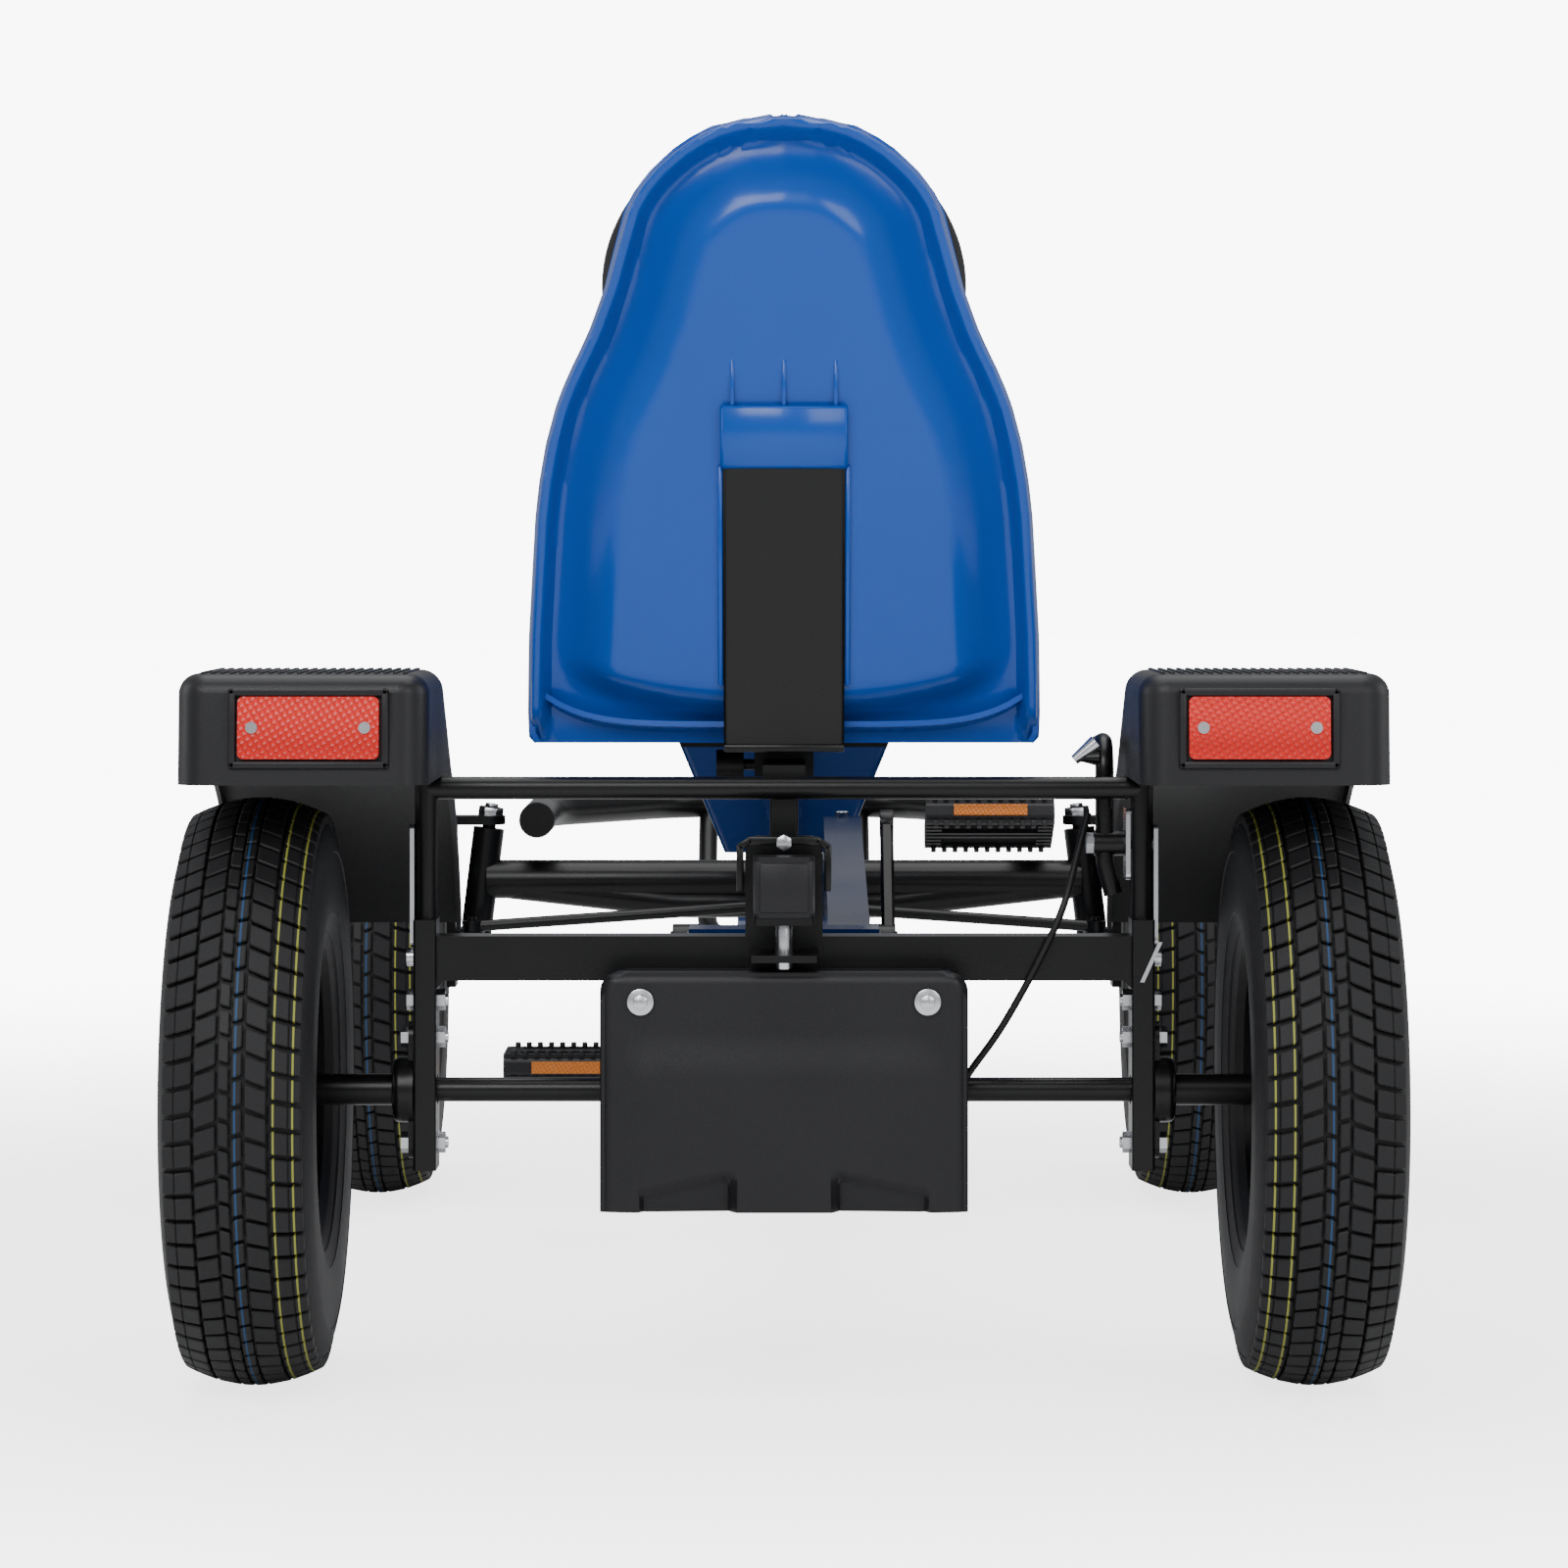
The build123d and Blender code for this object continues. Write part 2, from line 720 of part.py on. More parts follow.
with BuildPart() as main_frame:
    add(bent_tube(spine_route, spine_bend, spine_diameter, spine_wall))
    add(rod((spine_front_x - 4.0, 0, spine_low_z), (spine_front_x, 0, spine_low_z), spine_diameter / 2 - 1.0))
    with BuildSketch(side_plane(crank_x, shell_length / 2, crank_z)):
        Circle(shell_diameter / 2)
    extrude(amount=shell_length)
    with BuildSketch(Plane(origin=column_foot + column_up * jacket_start, z_dir=column_up)):
        Circle(jacket_radius)
    extrude(amount=knee_distance - jacket_start)
    with Locations(knee):
        Sphere(knee_radius)
    with BuildSketch(Plane(origin=knee, z_dir=wheel_up)):
        Circle(jacket_radius - 3.0)
    extrude(amount=upper_jacket_end)
    with BuildSketch(side_plane(0, 4.0, 0)):
        Polygon(
            (foot_x - 120.0, spine_low_z + 20.0),
            (foot_x - 45.0, spine_low_z + 20.0),
            (foot_x - 45.0, 320.0),
            (foot_x - 95.0, 400.0),
            (foot_x - 105.0, 400.0),
            align=None,
        )
    extrude(amount=8.0)
    for way in (-1, 1):
        near = front_x + way * lug_gap
        with BuildSketch(radial_plane(min(near, near + way * lug_thickness), 0, 0)):
            with Locations((0, beam_z)):
                Circle(20.0)
            with Locations((0, (spine_low_z + beam_z) / 2 + 10.0)):
                Rectangle(40.0, beam_z - spine_low_z - 20.0)
        extrude(amount=lug_thickness)
    for way in (-1, 1):
        with BuildSketch(side_plane(hub_x, way * hub_bracket_y + hub_bracket_wall / 2, hub_z)):
            Circle(22.0)
            with Locations((0, 37.0)):
                Rectangle(44.0, 74.0)
        extrude(amount=hub_bracket_wall)
    with Locations((hub_x, 0, spine_high_z + 18.0)):
        Box(44.0, 2 * hub_bracket_y, 8.0)
    # shaft bores: hub pin, crank, both steering shafts and the pivot bolt
    with BuildSketch(side_plane(hub_x, hub_bracket_y + 10.0, hub_z)):
        Circle(6.0)
    extrude(amount=2 * hub_bracket_y + 20.0, mode=Mode.SUBTRACT)
    with BuildSketch(side_plane(crank_x, shell_length, crank_z)):
        Circle(crank_axle_diameter / 2 + running_gap)
    extrude(amount=2 * shell_length, mode=Mode.SUBTRACT)
    with BuildSketch(Plane(origin=column_foot + column_up * (jacket_start - 1.0), z_dir=column_up)):
        Circle(shaft_radius + running_gap)
    extrude(amount=knee_distance - jacket_start - knee_radius + 12.0, mode=Mode.SUBTRACT)
    with BuildSketch(
        Plane(origin=column_foot + column_up * (jacket_start + bush_length), z_dir=column_up)
    ):
        Circle(jacket_radius - jacket_wall)
    extrude(amount=knee_distance - jacket_start - 2 * bush_length - knee_radius, mode=Mode.SUBTRACT)
    with BuildSketch(Plane(origin=knee + wheel_up * 12.0, z_dir=wheel_up)):
        Circle(shaft_radius + running_gap)
    extrude(amount=upper_jacket_end, mode=Mode.SUBTRACT)
    with BuildSketch(side_plane(0, 60.0, 0)):
        with Locations((front_x, beam_z)):
            Rectangle(2 * lug_gap, 2.0 * (beam_z - spine_low_z - spine_diameter / 2) - 4.0)
    extrude(amount=120.0, mode=Mode.SUBTRACT)
    with BuildSketch(radial_plane(front_x - 40.0, 0, beam_z)):
        Circle(pivot_bolt_diameter / 2 + 0.1)
    extrude(amount=80.0, mode=Mode.SUBTRACT)
save(main_frame.part, "main_frame")

bolt_start = front_x - lug_gap - lug_thickness
bolt_end = front_x + lug_gap + lug_thickness
save(
    hex_bolt((bolt_start, 0, beam_z), (bolt_end, 0, beam_z), pivot_bolt_diameter, 24.0, 5.0),
    "pivot_bolt",
)

# Painted cowl at the foot of the column: a flared V of thin plate
cowl_x = foot_x - 62.0
cowl_bottom_z = 314.0
cowl_top_z = 415.0
with BuildPart() as column_cowl:
    with BuildSketch(Plane.XY.offset(cowl_bottom_z)):
        with Locations((cowl_x + 15.0, 0)):
            RectangleRounded(30.0, 106.0, 6.0)
    with BuildSketch(Plane.XY.offset(cowl_top_z)):
        with Locations((cowl_x + 15.0, 0)):
            RectangleRounded(30.0, 190.0, 6.0)
    loft()
    with BuildSketch(Plane.XY.offset(cowl_bottom_z - 1.0)):
        with Locations((cowl_x + 18.0, 0)):
            RectangleRounded(30.0, 98.0, 6.0)
    with BuildSketch(Plane.XY.offset(cowl_top_z + 1.0)):
        with Locations((cowl_x + 18.0, 0)):
            RectangleRounded(30.0, 182.0, 6.0)
    loft(mode=Mode.SUBTRACT)
    with BuildSketch(Plane(origin=column_foot, z_dir=column_up)):
        Circle(jacket_radius)
    extrude(amount=knee_distance, mode=Mode.SUBTRACT)
    with BuildSketch(side_plane(0, 4.3, 0)):
        with Locations((foot_x - 60.0, 360.0)):
            Rectangle(120.0, 110.0)
    extrude(amount=8.6, mode=Mode.SUBTRACT)
save(column_cowl.part, "column_cowl")

# ---------------------------------------------------------------------------
# Seat rail, carriage, bracket and shell
# ---------------------------------------------------------------------------

rail_rear_x = rear_x + post_setback
rail_middle_x = rail_rear_x + rail_length / 2
rail_middle_z = rail_top_z - rail_height / 2
front_post_x = rear_x + 260.0
with BuildPart() as seat_rail:
    with Locations((rail_middle_x, 0, rail_middle_z)):
        Box(rail_length, rail_width, rail_height)
    with BuildSketch(Plane.XY.offset(cross_top)):
        with Locations((rail_rear_x + post_size / 2, 0)):
            RectangleRounded(post_size, post_size, 2.0)
    extrude(amount=rail_top_z - rail_height - cross_top)
    with BuildSketch(Plane.XY.offset(spine_high_z + spine_diameter / 2)):
        with Locations((front_post_x, 0)):
            RectangleRounded(post_size, post_size, 2.0)
    extrude(amount=rail_top_z - rail_height - spine_high_z - spine_diameter / 2)
save(seat_rail.part, "seat_rail")

carriage_x = rear_x + 170.0
carriage_half = rail_width / 2 + touch_gap
with BuildPart() as seat_carriage:
    with BuildSketch(radial_plane(carriage_x - carriage_length / 2, 0, 0)):
        with Locations((0, (rail_top_z - 12.0 + seat_bottom_z) / 2)):
            Rectangle(2 * (carriage_half + carriage_wall), seat_bottom_z - rail_top_z + 12.0)
        with Locations((0, (rail_top_z - 14.0 + rail_top_z) / 2 + touch_gap)):
            Rectangle(2 * carriage_half, 14.0, mode=Mode.SUBTRACT)
    extrude(amount=carriage_length)
    with Locations((carriage_x, 0, seat_bottom_z - 2.5)):
        Box(carriage_length, 150.0, 5.0)
    with BuildSketch(side_plane(carriage_x, carriage_half + carriage_wall + 1.0, rail_middle_z + 4.0)):
        Circle(4.1)
    extrude(amount=carriage_wall + 2.0, mode=Mode.SUBTRACT)
save(seat_carriage.part, "seat_carriage")

clamp_y = carriage_half + touch_gap
clamp_z = rail_middle_z + 4.0
with BuildPart() as seat_clamp:
    with BuildSketch(side_plane(carriage_x, clamp_y + 34.0, clamp_z)):
        Circle(4.05 - 0.0)
    extrude(amount=34.0)
    with BuildSketch(side_plane(carriage_x, clamp_y + 34.0, clamp_z)):
        Circle(11.0)
    extrude(amount=20.0)
    with BuildSketch(side_plane(carriage_x, clamp_y + 32.0, clamp_z)):
        with Locations((30.0, 0)):
            RectangleRounded(70.0, 14.0, 6.5)
    extrude(amount=12.0)
save(seat_clamp.part, "seat_clamp")

back_foot_x = rear_x + 42.0
lean = math.radians(seat_lean)
bracket_plane = Plane(
    origin=(back_foot_x, 0, seat_bottom_z), x_dir=(0, -1, 0), z_dir=(-math.cos(lean), 0, -math.sin(lean))
)
bracket_length = (bracket_top_z - seat_bottom_z) / math.cos(lean)
with BuildPart() as seat_bracket:
    with BuildSketch(bracket_plane):
        with Locations((0, bracket_length / 2 - 2.0)):
            RectangleRounded(bracket_width, bracket_length + 4.0, 1.5)
    extrude(amount=bracket_thickness)
    for way in (-1, 1):
        with BuildSketch(bracket_plane.offset(bracket_thickness)):
            with Locations((way * (bracket_width / 2 - 2.0), bracket_length / 2)):
                Rectangle(4.0, bracket_length - 12.0)
        extrude(amount=8.0)
    foot_length = carriage_x - carriage_length / 2 - back_foot_x + bracket_thickness
    with Locations(
        (back_foot_x - bracket_thickness + foot_length / 2, 0, seat_bottom_z - bracket_thickness / 2)
    ):
        Box(foot_length, bracket_width, bracket_thickness)
save(seat_bracket.part, "seat_bracket")

# Half widths of the seat against height: foot, hip, shoulder bend, neck bend and crown
seat_outline = (
    (184.0, seat_bottom_z),
    (176.0, seat_bottom_z + 160.0),
    (124.0, seat_bottom_z + 316.0),
    (94.0, seat_top_z),
)
seat_corner_radii = (16.0, 150.0, 150.0, 62.0)
back_offset = 1.0
seat_rear = back_foot_x + back_offset
seat_front = rear_x + seat_front_x


def seat_front_view(inset):
    """Seen from the front, the seat's outline taken in by an even border."""
    seat_height = seat_top_z - seat_bottom_z
    right = [(y - inset, z - inset * (z - seat_bottom_z) / seat_height) for y, z in seat_outline]
    left = [(-y, z) for y, z in reversed(right)]
    with BuildSketch(radial_plane(rear_x - 200.0, 0, 0)) as view:
        Polygon(*right, *left, align=None)
        for (y, z), radius in zip(right, seat_corner_radii):
            corners = view.vertices().filter_by(lambda v: abs(abs(v.X) - y) < 0.1 and abs(v.Y - z) < 0.1)
            fillet(corners, radius=radius - inset * 0.5)
    return view.sketch


def back_x(height, inset):
    """Where the seat's leaning back face is at a height."""
    return seat_rear + inset - (height - seat_bottom_z) * math.tan(lean)


seat_crown = back_x(seat_top_z, 0)


def seat_side_view():
    """Seat seen from the side: its leaning back, flat base and swept wing edge."""
    wing_edge = [
        (seat_front - 70.0, seat_bottom_z - 2.0),
        (seat_front, seat_bottom_z + 18.0),
        (seat_front - 6.0, seat_bottom_z + 80.0),
        (seat_front - 180.0, seat_bottom_z + 150.0),
        (seat_front - 290.0, seat_bottom_z + 330.0),
        (seat_crown + 42.0, seat_top_z + 2.0),
    ]
    with BuildSketch(side_plane(0, seat_width / 2 + 10.0, 0)) as view:
        with BuildLine():
            Line((seat_crown, seat_top_z + 2.0), (back_x(seat_bottom_z - 2.0, 0), seat_bottom_z - 2.0))
            Line((back_x(seat_bottom_z - 2.0, 0), seat_bottom_z - 2.0), wing_edge[0])
            FilletPolyline(*wing_edge, radius=seat_edge_bend)
            Line(wing_edge[-1], (seat_crown, seat_top_z + 2.0))
        make_face()
    return view.sketch


def seat_hollow_view():
    """The space a driver sits in, seen from the side."""
    with BuildSketch(side_plane(0, seat_width / 2 + 10.0, 0)) as view:
        Polygon(
            (back_x(seat_bottom_z + 40.0, seat_wall + 14.0), seat_bottom_z + 40.0),
            (back_x(seat_bottom_z, 70.0), seat_bottom_z + seat_wall),
            (seat_front - 110.0, seat_bottom_z + seat_wall),
            (seat_front - 40.0, seat_bottom_z + 42.0),
            (seat_front + 20.0, seat_bottom_z + 60.0),
            (seat_front + 20.0, seat_top_z + 40.0),
            (back_x(seat_top_z + 40.0, seat_wall + 4.0), seat_top_z + 40.0),
            align=None,
        )
    return view.sketch


seat_block = extrude(seat_side_view(), amount=seat_width + 20.0) & extrude(seat_front_view(0.0), amount=600.0)
hollow_block = extrude(seat_hollow_view(), amount=seat_width + 20.0) & extrude(
    seat_front_view(seat_border), amount=600.0
)
with BuildPart() as seat_shell:
    add(seat_block)
    add(hollow_block, mode=Mode.SUBTRACT)
save(seat_shell.part, "seat_shell")

# ---------------------------------------------------------------------------
# Crank and pedals
# ---------------------------------------------------------------------------

crank_hub_in = crank_hub_y
arm_y_in = crank_hub_in + 12.0
arm_thickness = 12.0
rest = math.radians(crank_rest_angle)


def crank_end(out):
    """Centre of a pedal spindle with the cranks as the kart stands."""
    turn = -out
    return crank_x + turn * crank_length * math.sin(rest), crank_z + turn * crank_length * math.cos(rest)


with BuildPart() as crank_axle:
    with BuildSketch(side_plane(crank_x, crank_hub_in + 20.0, crank_z)):
        Circle(crank_axle_diameter / 2)
    extrude(amount=2 * (crank_hub_in + 20.0))
save(crank_axle.part, "crank_axle")


def crank_arm(out):
    """Forged crank arm with its square-ended boss and pedal eye."""
    tip_x, tip_z = crank_end(out)
    along_x = (tip_x - crank_x) / crank_length
    along_z = (tip_z - crank_z) / crank_length
    outer = out * (arm_y_in + arm_thickness)
    inner_face = out * arm_y_in
    with BuildPart() as arm:
        with BuildSketch(side_plane(crank_x, max(out * crank_hub_in, out * (crank_hub_in + 24.0)), crank_z)):
            Circle(15.0)
        extrude(amount=24.0)
        with BuildSketch(side_plane(crank_x, max(inner_face, outer), crank_z)):
            Circle(15.0)
            with Locations((tip_x - crank_x, tip_z - crank_z)):
                Circle(12.0)
            with BuildLine():
                Polyline(
                    *[
                        (
                            reach * along_x + way * half * along_z,
                            reach * along_z - way * half * along_x,
                        )
                        for reach, way, half in (
                            (0.0, 1, 13.0),
                            (crank_length, 1, 10.0),
                            (crank_length, -1, 10.0),
                            (0.0, -1, 13.0),
                        )
                    ],
                    close=True,
                )
            make_face()
        extrude(amount=arm_thickness)
        with BuildSketch(side_plane(crank_x, crank_hub_in + 60.0, crank_z)):
            Circle(crank_axle_diameter / 2)
        extrude(amount=2 * (crank_hub_in + 60.0), mode=Mode.SUBTRACT)
    return arm.part


def pedal_parts(out, tilt):
    """Pedal body running on its spindle, and the reflectors let into its two long sides."""
    tip_x, tip_z = crank_end(out)
    outer_y = out * (pedal_inside_y + pedal_width)
    inner_y = out * pedal_inside_y
    place = Plane(
        origin=(tip_x, max(outer_y, inner_y), tip_z),
        x_dir=(math.cos(tilt), 0, -math.sin(tilt)),
        z_dir=(0, -1, 0),
    )
    teeth_along = int(pedal_length / 9.0)
    with BuildPart() as body:
        with BuildSketch(place):
            RectangleRounded(pedal_length, pedal_height - 2 * pedal_tooth, 4.0)
            for face in (-1, 1):
                with Locations((0, face * (pedal_height / 2 - pedal_tooth))):
                    with GridLocations(9.0, 1.0, teeth_along, 1):
                        Rectangle(4.5, 2 * pedal_tooth)
            Circle(pedal_spindle_diameter / 2 + running_gap, mode=Mode.SUBTRACT)
        extrude(amount=pedal_width)
        for face in (-1, 1):
            with BuildSketch(place.offset(14.0)):
                with Locations((face * pedal_length * 0.25, 0)):
                    Rectangle(pedal_length * 0.2, pedal_height + 2.0)
            extrude(amount=pedal_width - 28.0, mode=Mode.SUBTRACT)
    with BuildPart() as glass:
        for face in (-1, 1):
            with BuildSketch(place.offset(24.0)):
                with Locations((face * (pedal_length / 2 + 1.0), 0)):
                    Rectangle(2.0, 10.0)
            extrude(amount=pedal_width - 48.0)
    return body.part, glass.part


for side, out in sides:
    tip_x, tip_z = crank_end(out)
    spindle = rod(
        (tip_x, out * arm_y_in, tip_z),
        (tip_x, out * (pedal_inside_y + pedal_width - 6.0), tip_z),
        pedal_spindle_diameter / 2,
    )
    collar = rod(
        (tip_x, out * (arm_y_in + arm_thickness), tip_z), (tip_x, out * (pedal_inside_y - 1.0), tip_z), 8.0
    )
    with BuildPart() as crank_side:
        add(crank_arm(out))
        add(spindle)
        add(collar)
    save(crank_side.part, f"crank_{side}")
    pedal_tilt = math.radians(right_pedal_tilt) if out < 0 else 0.0
    pedal_body, pedal_glass = pedal_parts(out, pedal_tilt)
    save(pedal_body, f"pedal_{side}")
    save(pedal_glass, f"pedal_reflectors_{side}")

# ---------------------------------------------------------------------------
# Chain drive
# ---------------------------------------------------------------------------


def belt_sketch(plane, near, near_radius, far, far_radius):
    """Outline of a belt drawn tight round two circles, as a sketch on a plane."""
    span = math.hypot(far[0] - near[0], far[1] - near[1])
    heading = math.atan2(far[1] - near[1], far[0] - near[0])
    lift = math.acos((near_radius - far_radius) / span)
    corners = [
        (
            centre[0] + radius * math.cos(heading + way * lift),
            centre[1] + radius * math.sin(heading + way * lift),
        )
        for centre, radius, way in (
            (near, near_radius, 1),
            (far, far_radius, 1),
            (far, far_radius, -1),
            (near, near_radius, -1),
        )
    ]
    with BuildSketch(plane) as outline:
        Polygon(*corners, align=None)
        with Locations(near):
            Circle(near_radius)
        with Locations(far):
            Circle(far_radius)
    return outline.sketch


def chain_loop(y, near, near_teeth, far, far_teeth):
    """Closed chain as a channel that runs outside the teeth without touching them."""
    rise = chain_plate_height / 2 + 0.5
    near_radius = sprocket_radius(near_teeth)
    far_radius = sprocket_radius(far_teeth)
    tooth_room = chain_pitch * 0.28 + 0.4
    slot = sprocket_thickness + 1.4
    outer_plane = side_plane(0, y + chain_width / 2, 0)
    with BuildPart() as loop:
        outside = belt_sketch(outer_plane, near, near_radius + rise, far, far_radius + rise)
        extrude(outside, amount=chain_width, dir=(0, -1, 0))
        inside = belt_sketch(outer_plane, near, near_radius - rise, far, far_radius - rise)
        extrude(inside, amount=chain_width, dir=(0, -1, 0), mode=Mode.SUBTRACT)
        slot_plane = side_plane(0, y + slot / 2, 0)
        channel = belt_sketch(slot_plane, near, near_radius + tooth_room, far, far_radius + tooth_room)
        extrude(channel, amount=slot, dir=(0, -1, 0), mode=Mode.SUBTRACT)
    return loop.part


crank_centre = (crank_x, crank_z)
hub_centre = (hub_x, hub_z)
axle_centre = (rear_x, axle_z)
hub_pin_radius = 6.0
save(chain_loop(drive_chain_y, crank_centre, chainring_teeth, hub_centre, driver_teeth), "drive_chain")
save(chain_loop(axle_chain_y, hub_centre, output_teeth, axle_centre, axle_teeth), "axle_chain")

ring_window_radius = sprocket_radius(chainring_teeth) * 0.6
with BuildPart() as chainring:
    add(sprocket(crank_x, drive_chain_y, crank_z, chainring_teeth, crank_axle_diameter / 2))
    with BuildSketch(side_plane(crank_x, -shell_length / 2 - 1.0, crank_z)):
        Circle(14.0)
        Circle(crank_axle_diameter / 2, mode=Mode.SUBTRACT)
    extrude(amount=crank_hub_y - shell_length / 2 - 1.0)
    with BuildSketch(side_plane(crank_x, drive_chain_y + sprocket_thickness, crank_z)):
        with PolarLocations(ring_window_radius, 5):
            Circle(21.0)
    extrude(amount=2 * sprocket_thickness, mode=Mode.SUBTRACT)
save(chainring.part, "chainring")

with BuildPart() as driver_sprocket:
    add(sprocket(hub_x, drive_chain_y, hub_z, driver_teeth, hub_pin_radius + running_gap))
    with BuildSketch(side_plane(hub_x, -28.0, hub_z)):
        Circle(16.0)
        Circle(hub_pin_radius + running_gap, mode=Mode.SUBTRACT)
    extrude(amount=28.0)
save(driver_sprocket.part, "driver_sprocket")

with BuildPart() as hub_shell:
    add(sprocket(hub_x, axle_chain_y, hub_z, output_teeth, hub_pin_radius + running_gap))
    with BuildSketch(side_plane(hub_x, 38.0, hub_z)):
        Circle(hub_shell_radius)
        Circle(hub_pin_radius + running_gap, mode=Mode.SUBTRACT)
    extrude(amount=64.0)
    with BuildSketch(side_plane(hub_x, 56.0, hub_z)):
        Circle(16.0)
        Circle(hub_pin_radius + running_gap, mode=Mode.SUBTRACT)
    extrude(amount=20.0)
    fillet(
        hub_shell.edges().filter_by(GeomType.CIRCLE).filter_by(
            lambda e: abs(e.radius - hub_shell_radius) < 0.1
        ),
        radius=4.0,
    )
save(hub_shell.part, "hub_shell")

save(
    hex_bolt(
        (hub_x, -hub_bracket_y - hub_bracket_wall / 2, hub_z),
        (hub_x, hub_bracket_y + hub_bracket_wall / 2, hub_z),
        2 * hub_pin_radius,
        18.0,
        8.0,
    ),
    "hub_axle",
)

case_half = case_width / 2 + case_wall
case_big = sprocket_radius(chainring_teeth) + 5.0 + case_clearance
case_small = sprocket_radius(driver_teeth) + 5.0 + case_clearance
case_plane = side_plane(0, drive_chain_y + case_half, 0)
case_inside_plane = side_plane(0, drive_chain_y + case_width / 2, 0)
with BuildPart() as chain_case:
    case_outside = belt_sketch(
        case_plane, crank_centre, case_big + case_wall, hub_centre, case_small + case_wall
    )
    extrude(case_outside, amount=2 * case_half, dir=(0, -1, 0))
    case_inside = belt_sketch(case_inside_plane, crank_centre, case_big, hub_centre, case_small)
    extrude(case_inside, amount=case_width, dir=(0, -1, 0), mode=Mode.SUBTRACT)
    with BuildSketch(case_plane):
        with Locations(crank_centre):
            Circle(shell_diameter / 2 + touch_gap)
        with Locations(hub_centre):
            Circle(hub_shell_radius + 1.0)
    extrude(amount=2 * case_half, mode=Mode.SUBTRACT)
    with Locations((crank_x, drive_chain_y, crank_z + case_big + case_wall + 1.0)):
        Cylinder(6.0, 5.0)
save(chain_case.part, "chain_case")

# ---------------------------------------------------------------------------
# Brake
# ---------------------------------------------------------------------------

band_inner = drum_radius + band_gap
band_outer = band_inner + band_thickness
band_width = drum_width - 4.0
with BuildPart() as brake_band:
    with BuildSketch(side_plane(rear_x, drum_y + band_width / 2, axle_z)):
        Circle(band_outer)
        Circle(band_inner, mode=Mode.SUBTRACT)
        with Locations((6.0, -band_inner)):
            Rectangle(10.0, 30.0, mode=Mode.SUBTRACT)
        with Locations((-4.0, -band_outer - 4.0)):
            Rectangle(8.0, 12.0)
        with Locations((14.0, -band_outer - 3.0)):
            Rectangle(6.0, 12.0)
        with Locations((0, (band_outer + cross_bottom - axle_z - 1.0) / 2)):
            Rectangle(5.0, cross_bottom - axle_z - band_outer + 1.0)
    extrude(amount=band_width)
save(brake_band.part, "brake_band")

cable_front_x = rear_x - cross_tube_depth / 2 - cable_diameter / 2 - touch_gap
lug_z = axle_z - band_outer - 5.0
cable_route = [
    (rear_x + 12.0, -214.0, 398.0),
    (cable_front_x - 1.5, -195.0, 332.0),
    (cable_front_x - 0.8, -176.0, 292.0),
    (cable_front_x, -150.0, 246.0),
    (rear_x - 18.0, -124.0, 212.0),
    (rear_x - 12.0, -106.0, 172.0),
    (rear_x - 4.0, drum_y - band_width / 2 - 1.8, lug_z - 2.0),
]
cable_bends = smooth_radii(cable_route)
print("brake cable bend radii", [round(radius, 1) for radius in cable_bends])
save(bent_tube(cable_route, cable_bends, cable_diameter), "brake_cable")

pivot_x = rear_x + lever_pivot_x - 3.0
pivot_z = 377.0
lever_tube_y = lever_y + 2.0
pin_radius = 4.0
with BuildPart() as brake_lever:
    add(
        bent_tube(
            [
                (pivot_x, lever_tube_y - 6.0, pivot_z - 36.0),
                (pivot_x, lever_tube_y, pivot_z - 13.0),
                (pivot_x, lever_tube_y, pivot_z + 72.0),
                (pivot_x + 145.0, lever_tube_y, pivot_z + 62.0),
            ],
            [30.0, 20.0],
            lever_diameter,
        )
    )
    add(
        rod(
            (pivot_x, -upright_inside_y + lever_plate + touch_gap, pivot_z),
            (pivot_x, lever_tube_y + lever_diameter / 2 + 1.0, pivot_z),
            9.0,
        )
    )
    with Locations(Plane(origin=(pivot_x, lever_tube_y + 11.0, pivot_z + 60.0), z_dir=(0, 1, 0))):
        Cone(6.0, 2.5, 14.0)
    add(
        rod(
            (pivot_x, lever_tube_y - 30.0, pivot_z),
            (pivot_x, lever_tube_y + 30.0, pivot_z),
            pin_radius + running_gap,
        ),
        mode=Mode.SUBTRACT,
    )
save(brake_lever.part, "brake_lever")

with BuildPart() as lever_bracket:
    with BuildSketch(side_plane(pivot_x - 3.0, -upright_inside_y + lever_plate, pivot_z)):
        RectangleRounded(30.0, 50.0, 4.0)
    extrude(amount=lever_plate)
    add(
        rod(
            (pivot_x, -upright_inside_y + lever_plate, pivot_z),
            (pivot_x, lever_tube_y + lever_diameter / 2 + 1.5, pivot_z),
            pin_radius,
        )
    )
    with BuildSketch(side_plane(pivot_x, lever_tube_y + lever_diameter / 2 + 6.5, pivot_z)):
        RegularPolygon(7.0, 6, major_radius=False)
    extrude(amount=5.0)
save(lever_bracket.part, "lever_bracket")

with BuildPart() as guard_braces:
    for side, out in sides:
        near = out * upright_outside_y
        with BuildSketch(side_plane(rear_x, max(near, near + out * lever_plate), 349.0)):
            RectangleRounded(16.0, 84.0, 3.0)
        extrude(amount=lever_plate)
save(guard_braces.part, "guard_braces")

# ---------------------------------------------------------------------------
# Rear chain cover
# ---------------------------------------------------------------------------

